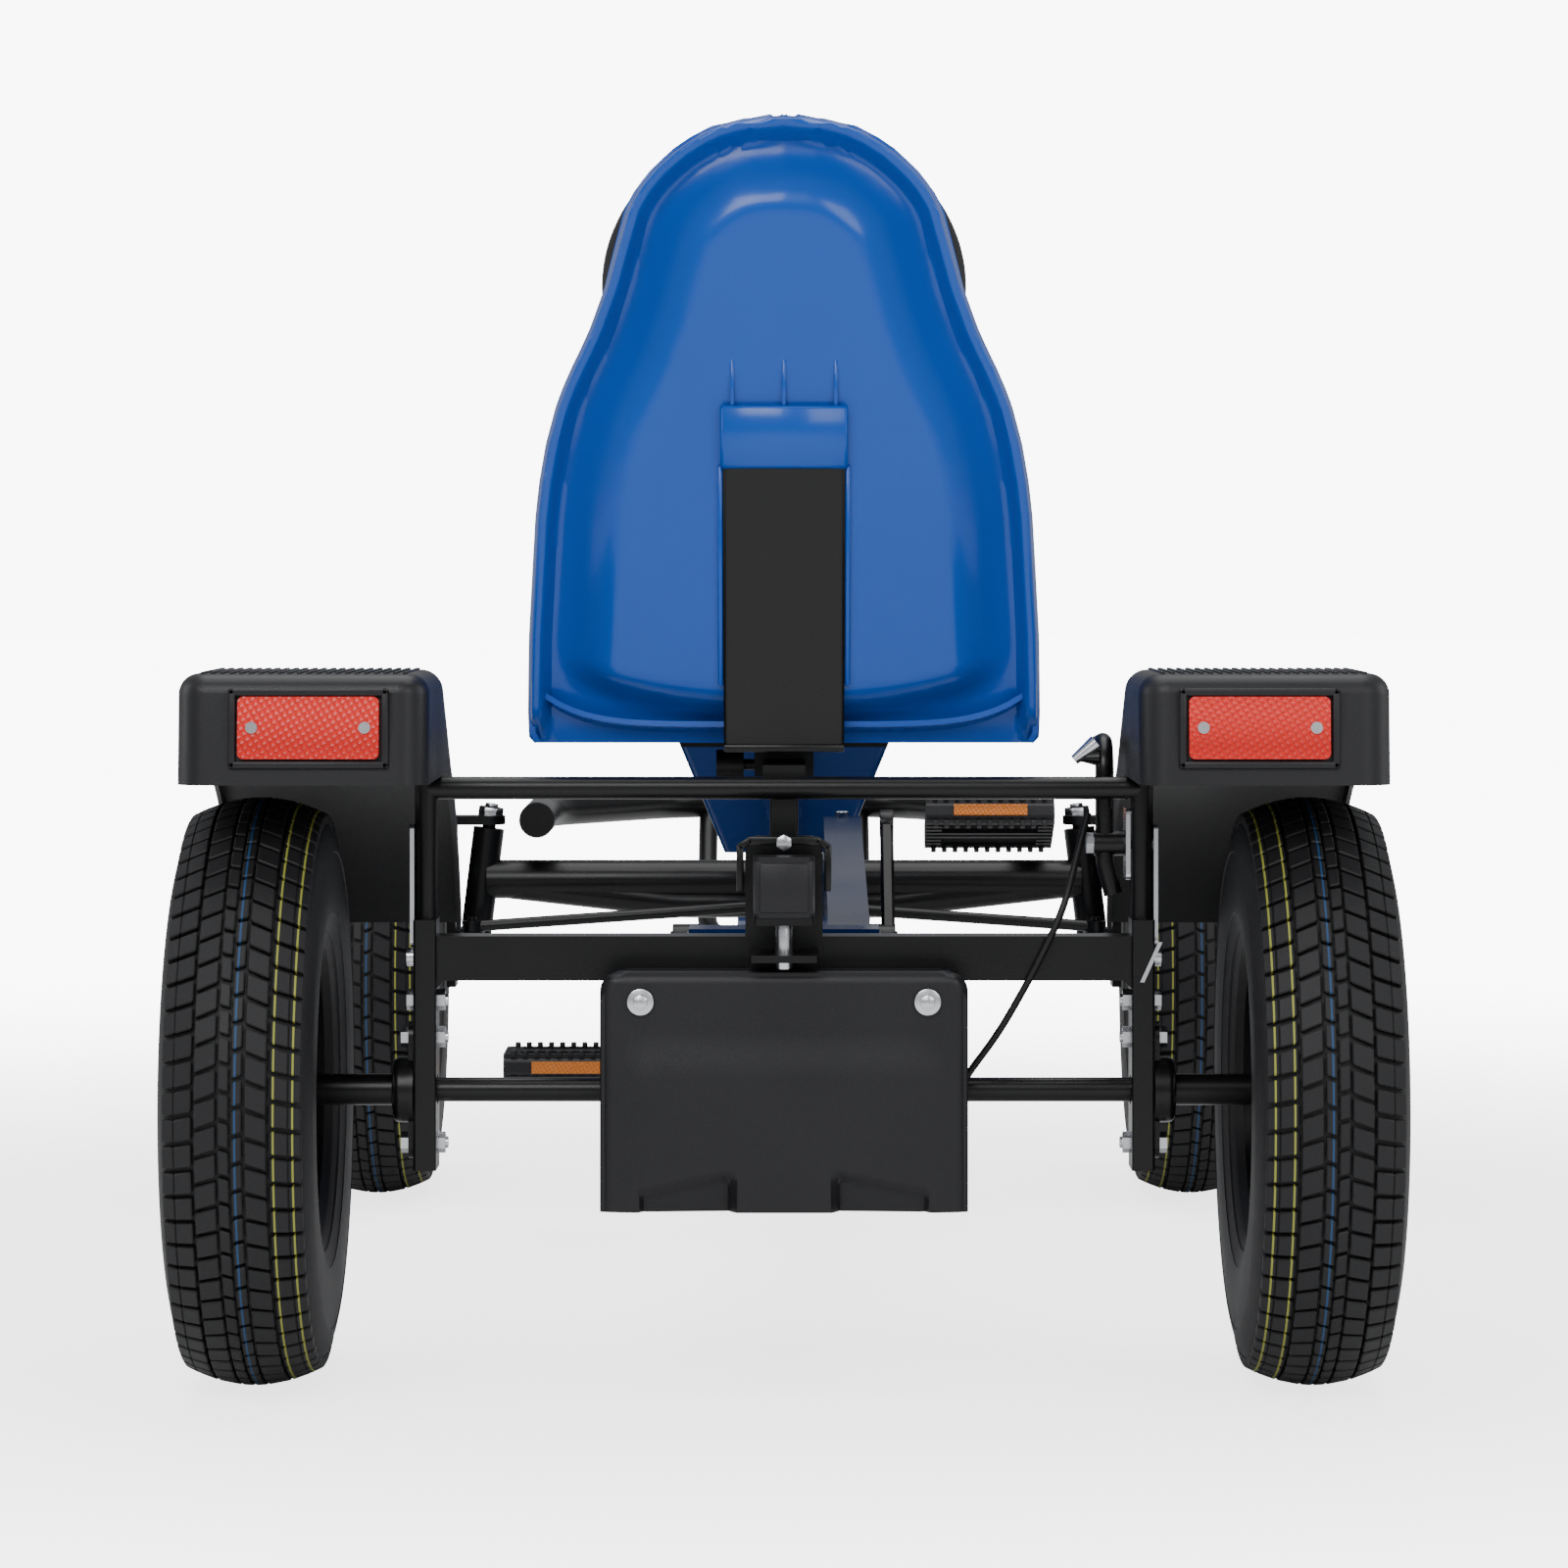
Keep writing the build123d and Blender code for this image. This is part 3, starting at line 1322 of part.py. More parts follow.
cover_x = rear_x - 63.0
cover_depth = 42.0
mount_face_x = rear_x - cross_tube_depth / 2 - 3.0
notch_top = cover_bottom + 24.0
with BuildPart() as chain_cover:
    with BuildSketch(radial_plane(cover_x, 0, 0)):
        Polygon(
            (-cover_half_width, cover_bottom),
            (-cover_half_width, cover_top - 16.0),
            (16.0 - cover_half_width, cover_top),
            (cover_half_width - 16.0, cover_top),
            (cover_half_width, cover_top - 16.0),
            (cover_half_width, cover_bottom),
            (104.0, cover_bottom),
            (90.0, notch_top),
            (40.0, notch_top),
            (28.0, cover_bottom),
            (-28.0, cover_bottom),
            (-40.0, notch_top),
            (-90.0, notch_top),
            (-104.0, cover_bottom),
            align=None,
        )
    extrude(amount=cover_depth)
    fillet(
        chain_cover.edges().filter_by(Axis.X).filter_by(lambda e: e.center().Z > cover_top - 18.0), radius=8.0
    )
    inside_half = cover_half_width - cover_wall
    with BuildSketch(radial_plane(cover_x + cover_wall, 0, 0)):
        Polygon(
            (-inside_half, cover_bottom - 1.0),
            (-inside_half, cover_top - 18.0),
            (17.0 - cover_half_width, cover_top - cover_wall),
            (cover_half_width - 17.0, cover_top - cover_wall),
            (inside_half, cover_top - 18.0),
            (inside_half, cover_bottom - 1.0),
            align=None,
        )
    extrude(amount=cover_depth, mode=Mode.SUBTRACT)
    for way in (-1, 1):
        with BuildSketch(radial_plane(cover_x, way * cover_bolt_y, cover_bolt_z)):
            Circle(8.0)
        extrude(amount=mount_face_x - cover_x)
        with BuildSketch(radial_plane(cover_x, way * cover_bolt_y, cover_bolt_z)):
            Circle(bolt_diameter / 2 + bolt_hole_gap)
        extrude(amount=mount_face_x - cover_x, mode=Mode.SUBTRACT)
save(chain_cover.part, "chain_cover")

with BuildPart() as cover_bolts:
    for way in (-1, 1):
        start = (cover_x, way * cover_bolt_y, cover_bolt_z)
        end = (rear_x - cross_tube_depth / 2, way * cover_bolt_y, cover_bolt_z)
        add(hex_bolt(start, end, bolt_diameter, 12.0, 4.0))
        add(rod((cover_x - 1.5, way * cover_bolt_y, cover_bolt_z), start, 9.0, bolt_diameter / 2))
save(cover_bolts.part, "cover_bolts")

# ---------------------------------------------------------------------------
# Tow hitch
# ---------------------------------------------------------------------------

hitch_face_x = rear_x - cross_tube_depth / 2 - hitch_plate
pin_x = rear_x + tow_pin_x
hitch_bottom_z = cross_bottom + 0.5
with BuildPart() as hitch_bracket:
    with BuildSketch(radial_plane(hitch_face_x, 0, (hitch_bottom_z + hitch_top_z) / 2)):
        RectangleRounded(hitch_width, hitch_top_z - hitch_bottom_z, 9.0)
        with Locations((0, 370.0 - (hitch_bottom_z + hitch_top_z) / 2)):
            Circle(bolt_diameter / 2 + bolt_hole_gap, mode=Mode.SUBTRACT)
    extrude(amount=hitch_plate)
    for level, wide, past in (
        (hitch_lower_z, hitch_width - 6.0, 22.0),
        (hitch_lower_z + hitch_gap, tow_grip, 14.0),
    ):
        with BuildSketch(Plane.XY.offset(level)):
            with Locations(((hitch_face_x + pin_x - past) / 2, 0)):
                RectangleRounded(hitch_face_x - pin_x + past, wide, 3.0)
            with Locations((pin_x, 0)):
                Circle(tow_pin_diameter / 2 + running_gap, mode=Mode.SUBTRACT)
        extrude(amount=hitch_plate)
save(hitch_bracket.part, "hitch_bracket")

grip_bottom = hitch_lower_z + hitch_gap + hitch_plate
with BuildPart() as tow_pin:
    with BuildSketch(Plane.XY.offset(hitch_lower_z - 6.0)):
        with Locations((pin_x, 0)):
            Circle(tow_pin_diameter / 2)
    extrude(amount=grip_bottom - hitch_lower_z + 8.0)
    with BuildSketch(Plane.XY.offset(grip_bottom + touch_gap)):
        with Locations((pin_x, 0)):
            RectangleRounded(30.0, tow_grip, 6.0)
    extrude(amount=tow_grip)
save(tow_pin.part, "tow_pin")

# ---------------------------------------------------------------------------
# Front axle, knuckles and tie rods
# ---------------------------------------------------------------------------

tilt = math.radians(kingpin_tilt)
sleeve_radius_front = kingpin_sleeve_diameter / 2


def kingpin_point(out, height):
    """A point on the leaning kingpin's centre line."""
    return Vector(front_x, out * (kingpin_y - (height - kingpin_z) * math.tan(tilt)), height)


def kingpin_up(out):
    """Direction of a kingpin."""
    return Vector(0, -out * math.sin(tilt), math.cos(tilt))


with BuildPart() as front_beam:
    beam_end = kingpin_y - 4.0
    add(rod((front_x, -beam_end, beam_z), (front_x, beam_end, beam_z), beam_diameter / 2))
    add(
        bent_tube(
            [
                (front_x, -beam_end + 14.0, beam_z - 3.0),
                (front_x, -95.0, beam_z - bow_drop + 5.0),
                (front_x, 95.0, beam_z - bow_drop + 5.0),
                (front_x, beam_end - 14.0, beam_z - 3.0),
            ],
            180.0,
            bow_diameter,
        )
    )
    for side, out in sides:
        half_sleeve = kingpin_up(out) * (kingpin_sleeve_length / 2)
        middle = kingpin_point(out, kingpin_z)
        add(rod(middle - half_sleeve, middle + half_sleeve, sleeve_radius_front))
        add(
            rod(middle - half_sleeve * 1.1, middle + half_sleeve * 1.1, kingpin_diameter / 2 + running_gap),
            mode=Mode.SUBTRACT,
        )
    add(
        rod(
            (front_x - 40.0, 0, beam_z), (front_x + 40.0, 0, beam_z), pivot_bolt_diameter / 2 + running_gap
        ),
        mode=Mode.SUBTRACT,
    )
save(front_beam.part, "front_beam")

arm_top_z = kingpin_z + 47.0
arm_bottom_z = kingpin_z - 47.0
arm_plate = 8.0
rod_end_z = arm_bottom_z + 5.5
rod_end_y = kingpin_point(1, arm_bottom_z - arm_plate / 2).Y
tie_x = front_x - steering_arm
rod_pin_radius = 4.0
front_hub_in = wheel_y - hub_tube_length / 2
front_hub_out = wheel_y + hub_tube_length / 2

for side, out in sides:
    web_in = knuckle_web_y - knuckle_web / 2
    web_middle_z = (axle_z - 18.0 + arm_top_z + arm_plate) / 2
    with BuildPart() as knuckle:
        with Locations((front_x, out * knuckle_web_y, web_middle_z)):
            Box(34.0, knuckle_web, arm_top_z + arm_plate - axle_z + 18.0)
        for level, reach in ((arm_top_z, 14.0), (arm_bottom_z - arm_plate, 14.0)):
            boss = kingpin_point(out, level + arm_plate / 2).Y
            with BuildSketch(Plane.XY.offset(level)):
                with Locations((front_x, boss)):
                    Circle(reach)
                with Locations((front_x, (boss + out * web_in) / 2)):
                    Rectangle(2 * reach, abs(out * web_in - boss))
            extrude(amount=arm_plate)
        with BuildSketch(Plane.XY.offset(arm_bottom_z - arm_plate)):
            with Locations((tie_x, out * rod_end_y)):
                Circle(10.0)
            with Locations(((tie_x + front_x) / 2, out * rod_end_y)):
                Rectangle(steering_arm, 18.0)
        extrude(amount=arm_plate)
        pin_low = (tie_x, out * rod_end_y, arm_bottom_z - 2.0)
        pin_high = (tie_x, out * rod_end_y, arm_bottom_z + 14.0)
        add(rod(pin_low, pin_high, rod_pin_radius))
        add(
            rod(
                kingpin_point(out, arm_bottom_z - arm_plate - 6.0),
                kingpin_point(out, arm_top_z + arm_plate + 8.0),
                kingpin_diameter / 2,
            )
        )
        for level in (arm_bottom_z - arm_plate - 8.0, arm_top_z + arm_plate - 1.0):
            with BuildSketch(Plane(origin=kingpin_point(out, level), z_dir=kingpin_up(out))):
                RegularPolygon(9.5, 6, major_radius=False)
            extrude(amount=9.0)
        add(
            rod(
                (front_x, out * (knuckle_web_y + 2.0), axle_z),
                (front_x, out * (front_hub_out + axle_end_spare), axle_z),
                axle_radius,
            )
        )
        shoulder_in = (front_x, out * (knuckle_web_y - 2.0), axle_z)
        shoulder_out = (front_x, out * (front_hub_in - touch_gap), axle_z)
        add(rod(shoulder_in, shoulder_out, 13.0))
        nut_face = front_hub_out + touch_gap
        with BuildSketch(side_plane(front_x, max(out * nut_face, out * (nut_face + 10.0)), axle_z)):
            RegularPolygon(12.0, 6, major_radius=False)
        extrude(amount=10.0)
    save(knuckle.part, f"knuckle_{side}")

    inner_end = Vector(tie_x, out * 14.0, 264.0)
    outer_end = Vector(tie_x, out * rod_end_y, rod_end_z)
    with BuildPart() as tie_rod:
        add(rod(inner_end, outer_end, tie_rod_diameter / 2))
        add(rod(outer_end - Vector(0, 0, 5.0), outer_end + Vector(0, 0, 5.0), 9.0))
        add(rod(inner_end - Vector(0, 0, 4.0), inner_end + Vector(0, 0, 4.0), 8.0))
        add(
            rod(
                outer_end - Vector(0, 0, 15.0), outer_end + Vector(0, 0, 15.0), rod_pin_radius + running_gap
            ),
            mode=Mode.SUBTRACT,
        )
        add(rod(inner_end - Vector(0, 0, 15.0), inner_end + Vector(0, 0, 15.0), 3.5), mode=Mode.SUBTRACT)
    save(tie_rod.part, f"tie_rod_{side}")

# ---------------------------------------------------------------------------
# Steering
# ---------------------------------------------------------------------------

pitman_thickness = 4.0
with BuildPart() as steering_column:
    with BuildSketch(Plane(origin=column_foot, z_dir=column_up)):
        Circle(shaft_radius)
    extrude(amount=knee_distance - knee_radius + 8.0)
    with BuildSketch(
        Plane(origin=column_foot - column_up * pitman_thickness / 2, x_dir=column_forward, z_dir=column_up)
    ):
        Circle(12.0)
        with Locations((-pitman_length / 2, 0)):
            Rectangle(pitman_length, 22.0)
        with Locations((-pitman_length, 0)):
            SlotOverall(44.0, 16.0, rotation=90)
    extrude(amount=pitman_thickness)
save(steering_column.part, "steering_column")

shaft_start = knee + wheel_up * 13.0
save(rod(shaft_start, wheel_hub + wheel_up * 6.0, shaft_radius), "upper_shaft")

rim_path_radius = steering_wheel_radius - steering_rim_diameter / 2
wheel_plane = Plane(origin=wheel_hub, x_dir=(0, 1, 0), z_dir=wheel_up)
with BuildPart() as steering_wheel:
    with Locations(wheel_plane):
        Torus(rim_path_radius, steering_rim_diameter / 2)
    with BuildSketch(wheel_plane.offset(-12.0)):
        Circle(32.0)
    extrude(amount=18.0)
    with BuildSketch(wheel_plane.offset(-8.0)):
        with PolarLocations(rim_path_radius / 2, 3, start_angle=90.0):
            Rectangle(rim_path_radius, 30.0)
    extrude(amount=6.0)
    add(
        rod(wheel_hub - wheel_up * 20.0, wheel_hub + wheel_up * 6.0, shaft_radius),
        mode=Mode.SUBTRACT,
    )
save(steering_wheel.part, "steering_wheel")

# ---------------------------------------------------------------------------
# Front bumper
# ---------------------------------------------------------------------------

bumper_rear_x = front_x - 45.0
bumper_side_y = 223.0
nose_x = front_x + nose_reach - bumper_diameter / 2
bumper_route = [
    (bumper_rear_x, bumper_side_y, bumper_z),
    (front_x + 150.0, bumper_side_y, bumper_z),
    (nose_x, 96.0, bumper_z),
    (nose_x, -96.0, bumper_z),
    (front_x + 150.0, -bumper_side_y, bumper_z),
    (bumper_rear_x, -bumper_side_y, bumper_z),
]
with BuildPart() as bumper:
    add(bent_tube(bumper_route, [90.0, 110.0, 110.0, 90.0], bumper_diameter))
    for way in (-1, 1):
        add(
            bent_tube(
                [
                    (spine_front_x - 14.0, way * 32.2, spine_low_z + 8.0),
                    (spine_front_x + 55.0, way * bumper_arm_y, spine_low_z + 20.0),
                    (nose_x, way * bumper_arm_y, bumper_z - 6.0),
                ],
                60.0,
                bumper_arm_diameter,
            )
        )
save(bumper.part, "bumper")
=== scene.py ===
import json
import math

import bpy
from mathutils import Matrix, Vector


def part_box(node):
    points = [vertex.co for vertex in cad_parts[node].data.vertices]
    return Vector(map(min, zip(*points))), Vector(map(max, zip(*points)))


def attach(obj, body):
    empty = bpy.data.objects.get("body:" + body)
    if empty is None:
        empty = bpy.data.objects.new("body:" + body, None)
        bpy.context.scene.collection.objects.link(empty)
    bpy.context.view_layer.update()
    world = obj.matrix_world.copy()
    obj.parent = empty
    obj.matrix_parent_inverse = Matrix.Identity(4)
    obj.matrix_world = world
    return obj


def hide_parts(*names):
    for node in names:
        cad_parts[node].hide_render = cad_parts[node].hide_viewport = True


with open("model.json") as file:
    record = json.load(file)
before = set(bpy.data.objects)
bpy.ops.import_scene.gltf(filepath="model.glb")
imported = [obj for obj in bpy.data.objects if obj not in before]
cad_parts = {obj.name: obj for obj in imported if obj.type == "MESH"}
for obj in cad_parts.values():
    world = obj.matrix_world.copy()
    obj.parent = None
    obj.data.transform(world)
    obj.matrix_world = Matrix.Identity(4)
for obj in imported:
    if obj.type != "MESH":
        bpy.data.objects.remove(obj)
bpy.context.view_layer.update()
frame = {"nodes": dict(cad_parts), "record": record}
print("frame loaded")


# Helpers shared by the pieces

def deselectAll():
    if bpy.context.object and bpy.context.object.mode != "OBJECT":
        bpy.ops.object.mode_set(mode="OBJECT")
    bpy.ops.object.select_all(action="DESELECT")


def pick(obj):
    deselectAll()
    obj.select_set(True)
    bpy.context.view_layer.objects.active = obj


def applyAll(obj):
    pick(obj)
    for modifier in list(obj.modifiers):
        bpy.ops.object.modifier_apply(modifier=modifier.name)
    bpy.ops.object.transform_apply(location=True, rotation=True, scale=True)


def cleanMesh(obj, angle=35):
    # doubles merged, normals outward, edges softer than the angle shaded smooth
    pick(obj)
    bpy.ops.object.mode_set(mode="EDIT")
    bpy.ops.mesh.select_all(action="SELECT")
    bpy.ops.mesh.remove_doubles(threshold=0.00002)
    bpy.ops.mesh.normals_make_consistent(inside=False)
    bpy.ops.object.mode_set(mode="OBJECT")
    bpy.ops.object.shade_smooth_by_angle(angle=math.radians(angle))


def addBevel(obj, width, segments=2):
    bevel = obj.modifiers.new("bevel", "BEVEL")
    bevel.width = width
    bevel.segments = segments
    bevel.limit_method = "ANGLE"
    bevel.angle_limit = math.radians(40)


def addCube(name, size, place, bevel=0.0, turn=(0, 0, 0)):
    deselectAll()
    bpy.ops.mesh.primitive_cube_add(size=1, location=place, rotation=turn)
    cube = bpy.context.object
    cube.name = name
    cube.scale = size
    bpy.ops.object.transform_apply(location=False, rotation=False, scale=True)
    if bevel:
        addBevel(cube, bevel)
    applyAll(cube)
    return cube


def addRod(name, start, end, radius, sides=32, bevel=0.0):
    deselectAll()
    start, end = Vector(start), Vector(end)
    along = end - start
    turn = along.to_track_quat("Z", "Y").to_euler()
    bpy.ops.mesh.primitive_cylinder_add(
        radius=radius, depth=along.length, vertices=sides, location=(start + end) / 2, rotation=turn
    )
    rod = bpy.context.object
    rod.name = name
    if bevel:
        addBevel(rod, bevel)
    applyAll(rod)
    return rod


def addSheet(name, rows, closed=False, thickness=0.0):
    # a grid primitive with each corner put where its row says
    deselectAll()
    across = len(rows[0])
    bpy.ops.mesh.primitive_grid_add(x_subdivisions=across - 1, y_subdivisions=len(rows) - 1, size=1)
    sheet = bpy.context.object
    sheet.name = name
    for index, corner in enumerate(sheet.data.vertices):
        corner.co = rows[index // across][index % across]
    if closed:
        pick(sheet)
        bpy.ops.object.mode_set(mode="EDIT")
        bpy.ops.mesh.select_all(action="SELECT")
        bpy.ops.mesh.remove_doubles(threshold=0.00002)
        bpy.ops.object.mode_set(mode="OBJECT")
    if thickness:
        solid = sheet.modifiers.new("solid", "SOLIDIFY")
        solid.thickness = abs(thickness)
        solid.offset = math.copysign(1, thickness)
    applyAll(sheet)
    return sheet


def joinPieces(name, pieces):
    pick(pieces[0])
    for piece in pieces[1:]:
        piece.select_set(True)
    if len(pieces) > 1:
        bpy.ops.object.join()
    joined = bpy.context.object
    joined.name = name
    return joined


def duplicatePiece(obj, name, matrix):
    pick(obj)
    bpy.ops.object.duplicate()
    copy = bpy.context.object
    copy.name = name
    copy.data.transform(matrix)
    if matrix.determinant() < 0:
        copy.data.flip_normals()
    return copy


def mirrorY(obj, name):
    return duplicatePiece(obj, name, Matrix.Scale(-1, 4, (0, 1, 0)))


def smooth(low, high, value):
    share = min(max((value - low) / (high - low), 0), 1)
    return share * share * (3 - 2 * share)


def along(table, value):
    # straight-line reading of a table of (position, amount)
    for (low, first), (high, second) in zip(table, table[1:]):
        if value <= high:
            return first + (second - first) * (value - low) / (high - low)
    return table[-1][1]


# Materials, all procedural

def newMaterial(name):
    material = bpy.data.materials.new(name)
    material.use_nodes = True
    nodes = material.node_tree.nodes
    return material, nodes, material.node_tree.links, nodes["Principled BSDF"]


def surface(
    name, color, rough=0.4, metal=0.0, coat=0.0, grain=60.0, bump=0.05, shift=0.25, roughShift=0.12, shine=0.5
):
    # base colour and roughness wander with noise, and a finer noise lifts the surface
    material, nodes, links, shader = newMaterial(name)
    place = nodes.new("ShaderNodeTexCoord")
    broad = nodes.new("ShaderNodeTexNoise")
    broad.inputs["Scale"].default_value = 9.0
    broad.inputs["Detail"].default_value = 6.0
    links.new(place.outputs["Object"], broad.inputs["Vector"])
    mix = nodes.new("ShaderNodeMix")
    mix.data_type = "RGBA"
    mix.inputs["A"].default_value = [channel * (1 - shift) for channel in color] + [1]
    mix.inputs["B"].default_value = [min(channel * (1 + shift), 1) for channel in color] + [1]
    links.new(broad.outputs["Fac"], mix.inputs["Factor"])
    links.new(mix.outputs["Result"], shader.inputs["Base Color"])
    fine = nodes.new("ShaderNodeTexNoise")
    fine.inputs["Scale"].default_value = grain * 10
    fine.inputs["Detail"].default_value = 4.0
    links.new(place.outputs["Object"], fine.inputs["Vector"])
    spread = nodes.new("ShaderNodeMapRange")
    spread.inputs["To Min"].default_value = max(rough - roughShift, 0.02)
    spread.inputs["To Max"].default_value = rough + roughShift
    links.new(broad.outputs["Fac"], spread.inputs["Value"])
    links.new(spread.outputs["Result"], shader.inputs["Roughness"])
    lift = nodes.new("ShaderNodeBump")
    lift.inputs["Strength"].default_value = bump
    lift.inputs["Distance"].default_value = 0.0006
    links.new(fine.outputs["Fac"], lift.inputs["Height"])
    links.new(lift.outputs["Normal"], shader.inputs["Normal"])
    shader.inputs["Metallic"].default_value = metal
    shader.inputs["Specular IOR Level"].default_value = shine
    shader.inputs["Coat Weight"].default_value = coat
    shader.inputs["Coat Roughness"].default_value = 0.08
    return material


def lensSurface(name, color, cell):
    # small prisms behind a clear face, from a cell pattern; lighter cell centres and darker cell edges are
    # painted reflection, and a faint emission is painted glow
    material = surface(
        name, color, rough=0.2, coat=0.2, grain=30, bump=0.02, shift=0.12, roughShift=0.05, shine=0.3
    )
    nodes, links = material.node_tree.nodes, material.node_tree.links
    shader = nodes["Principled BSDF"]
    place = nodes["Texture Coordinate"]
    cells = nodes.new("ShaderNodeTexVoronoi")
    cells.inputs["Scale"].default_value = 1 / cell
    cells.inputs["Randomness"].default_value = 0.0
    slanted = nodes.new("ShaderNodeMapping")
    slanted.inputs["Rotation"].default_value = (math.radians(32), 0, 0)
    links.new(place.outputs["Object"], slanted.inputs["Vector"])
    links.new(slanted.outputs["Vector"], cells.inputs["Vector"])
    lift = nodes.new("ShaderNodeBump")
    lift.inputs["Strength"].default_value = 0.6
    lift.inputs["Distance"].default_value = 0.0015
    links.new(cells.outputs["Distance"], lift.inputs["Height"])
    links.new(lift.outputs["Normal"], shader.inputs["Normal"])
    spread = nodes.new("ShaderNodeMapRange")
    spread.inputs["From Max"].default_value = 0.8
    spread.inputs["To Min"].default_value = 0.3
    spread.inputs["To Max"].default_value = 1.0
    # painted reflection: bright at the prism cell centres, dark at their edges
    paintedPrismGlow = nodes.new("ShaderNodeMix")
    paintedPrismGlow.data_type = "RGBA"
    paintedPrismGlow.inputs["A"].default_value = [min(channel * 1.25 + 0.02, 1) for channel in color] + [1]
    paintedPrismGlow.inputs["B"].default_value = [channel * 0.45 for channel in color] + [1]
    links.new(cells.outputs["Distance"], spread.inputs["Value"])
    links.new(spread.outputs["Result"], paintedPrismGlow.inputs["Factor"])
    links.new(paintedPrismGlow.outputs["Result"], shader.inputs["Base Color"])
    # painted glow: the lens shines a little by itself, though it is no lamp
    shader.inputs["Emission Strength"].default_value = 0.18
    links.new(paintedPrismGlow.outputs["Result"], shader.inputs["Emission Color"])
    return material


def markedRubber(name, marks):
    # tread rubber with thin moulding lines, each at a distance from the kart's middle
    material = surface(name, rubberTone, rough=0.55, grain=80, bump=0.2, shift=0.3, shine=0.3)
    nodes, links = material.node_tree.nodes, material.node_tree.links
    shader = nodes["Principled BSDF"]
    base = nodes["Mix"].outputs["Result"]
    split = nodes.new("ShaderNodeSeparateXYZ")
    links.new(nodes["Texture Coordinate"].outputs["Object"], split.inputs["Vector"])
    away = nodes.new("ShaderNodeMath")
    away.operation = "ABSOLUTE"
    links.new(split.outputs["Y"], away.inputs[0])
    for distance, width, color in marks:
        near = nodes.new("ShaderNodeMath")
        near.operation = "COMPARE"
        near.inputs[1].default_value = distance
        near.inputs[2].default_value = width / 2
        links.new(away.outputs["Value"], near.inputs[0])
        layer = nodes.new("ShaderNodeMix")
        layer.data_type = "RGBA"
        layer.inputs["B"].default_value = color + (1,)
        links.new(near.outputs["Value"], layer.inputs["Factor"])
        links.new(base, layer.inputs["A"])
        base = layer.outputs["Result"]
    links.new(base, shader.inputs["Base Color"])
    return material


rubberTone = (0.0095, 0.0095, 0.0105)
blueMark = (0.012, 0.05, 0.13)
yellowMark = (0.26, 0.27, 0.045)
looks = {
    "blue_paint": surface("bluePaint", (0.001, 0.016, 0.085), rough=0.22, coat=0.2, bump=0.02, shine=0.3),
    "navy_paint": surface("navyPaint", (0.003, 0.012, 0.045), rough=0.24, coat=0.15, bump=0.02, shine=0.25),
    "black_paint": surface("blackPaint", (0.0035, 0.0035, 0.004), rough=0.3, grain=90, bump=0.1, shine=0.3),
    "black_plastic": surface(
        "blackPlastic", (0.0085, 0.0085, 0.01), rough=0.42, grain=120, bump=0.16, shine=0.32
    ),
    "blue_plastic": surface(
        "bluePlastic", (0.0, 0.062, 0.36), rough=0.24, coat=0.1, grain=40, bump=0.02, shift=0.07,
        roughShift=0.04, shine=0.35
    ),
    "red_lens": lensSurface("redLens", (0.8, 0.012, 0.006), 0.0042),
    "amber_lens": lensSurface("amberLens", (0.6, 0.16, 0.005), 0.003),
    "zinc_steel": surface("zincSteel", (0.6, 0.61, 0.63), rough=0.26, metal=1.0, grain=50, bump=0.06),
    "tyre_rubber": surface("tyreRubber", rubberTone, rough=0.55, grain=80, bump=0.2, shift=0.3, shine=0.3),
    "cable_sheath": surface("cableSheath", (0.006, 0.006, 0.006), rough=0.45, grain=70, bump=0.05, shine=0.3),
}
treadLook = markedRubber(
    "treadRubber", ((0.364, 0.0014, blueMark), (0.339, 0.0013, yellowMark), (0.3265, 0.0013, yellowMark))
)


def finishPiece(obj, body, slot, nodes=(), angle=35, look=None):
    cleanMesh(obj, angle)
    if not obj.data.materials:
        obj.data.materials.append(look or looks[slot])
    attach(obj, body)
    if nodes:
        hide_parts(*nodes)


for entry in frame["record"]["subparts"]:
    node = frame["nodes"][entry["node"]]
    node.data.materials.clear()
    node.data.materials.append(looks[entry["material_slot"]])
    pick(node)
    bpy.ops.object.shade_smooth_by_angle(angle=math.radians(30))
print("materials ready")

# Camera and lights

camera = bpy.data.objects.new("camera", bpy.data.cameras.new("camera"))
bpy.context.scene.collection.objects.link(camera)
camera.location = (-4.198, 0, 0.583)
camera.rotation_euler = (math.radians(90), 0, math.radians(-90))
camera.data.lens = 117.7
camera.data.sensor_width = 36
camera.data.shift_y = -0.14875
camera.data.clip_end = 60
bpy.context.scene.camera = camera

deselectAll()
bpy.ops.mesh.primitive_plane_add(size=60, location=(0, 0, 0))
floor = bpy.context.object
floor.name = "floor"
floorLook = surface("floorLook", (0.86, 0.86, 0.86), rough=0.6, bump=0.0, shift=0.01)
floorShader = floorLook.node_tree.nodes["Principled BSDF"]
floorNodes, floorLinks = floorLook.node_tree.nodes, floorLook.node_tree.links
# painted light: the floor glows for camera rays only, weakly near the kart and strongly far off, so it is
# painted grey round the kart and whitens into the backdrop further away
seen = floorNodes.new("ShaderNodeLightPath")
away = floorNodes.new("ShaderNodeVectorMath")
away.operation = "LENGTH"
floorLinks.new(floorNodes["Texture Coordinate"].outputs["Object"], away.inputs[0])
fade = floorNodes.new("ShaderNodeMapRange")
fade.interpolation_type = "SMOOTHSTEP"
fade.inputs["From Min"].default_value = 0.7
fade.inputs["From Max"].default_value = 3.2
fade.inputs["To Min"].default_value = 2.6
fade.inputs["To Max"].default_value = 9.0
floorLinks.new(away.outputs["Value"], fade.inputs["Value"])
paintedFloorGlow = floorNodes.new("ShaderNodeMath")
paintedFloorGlow.operation = "MULTIPLY"
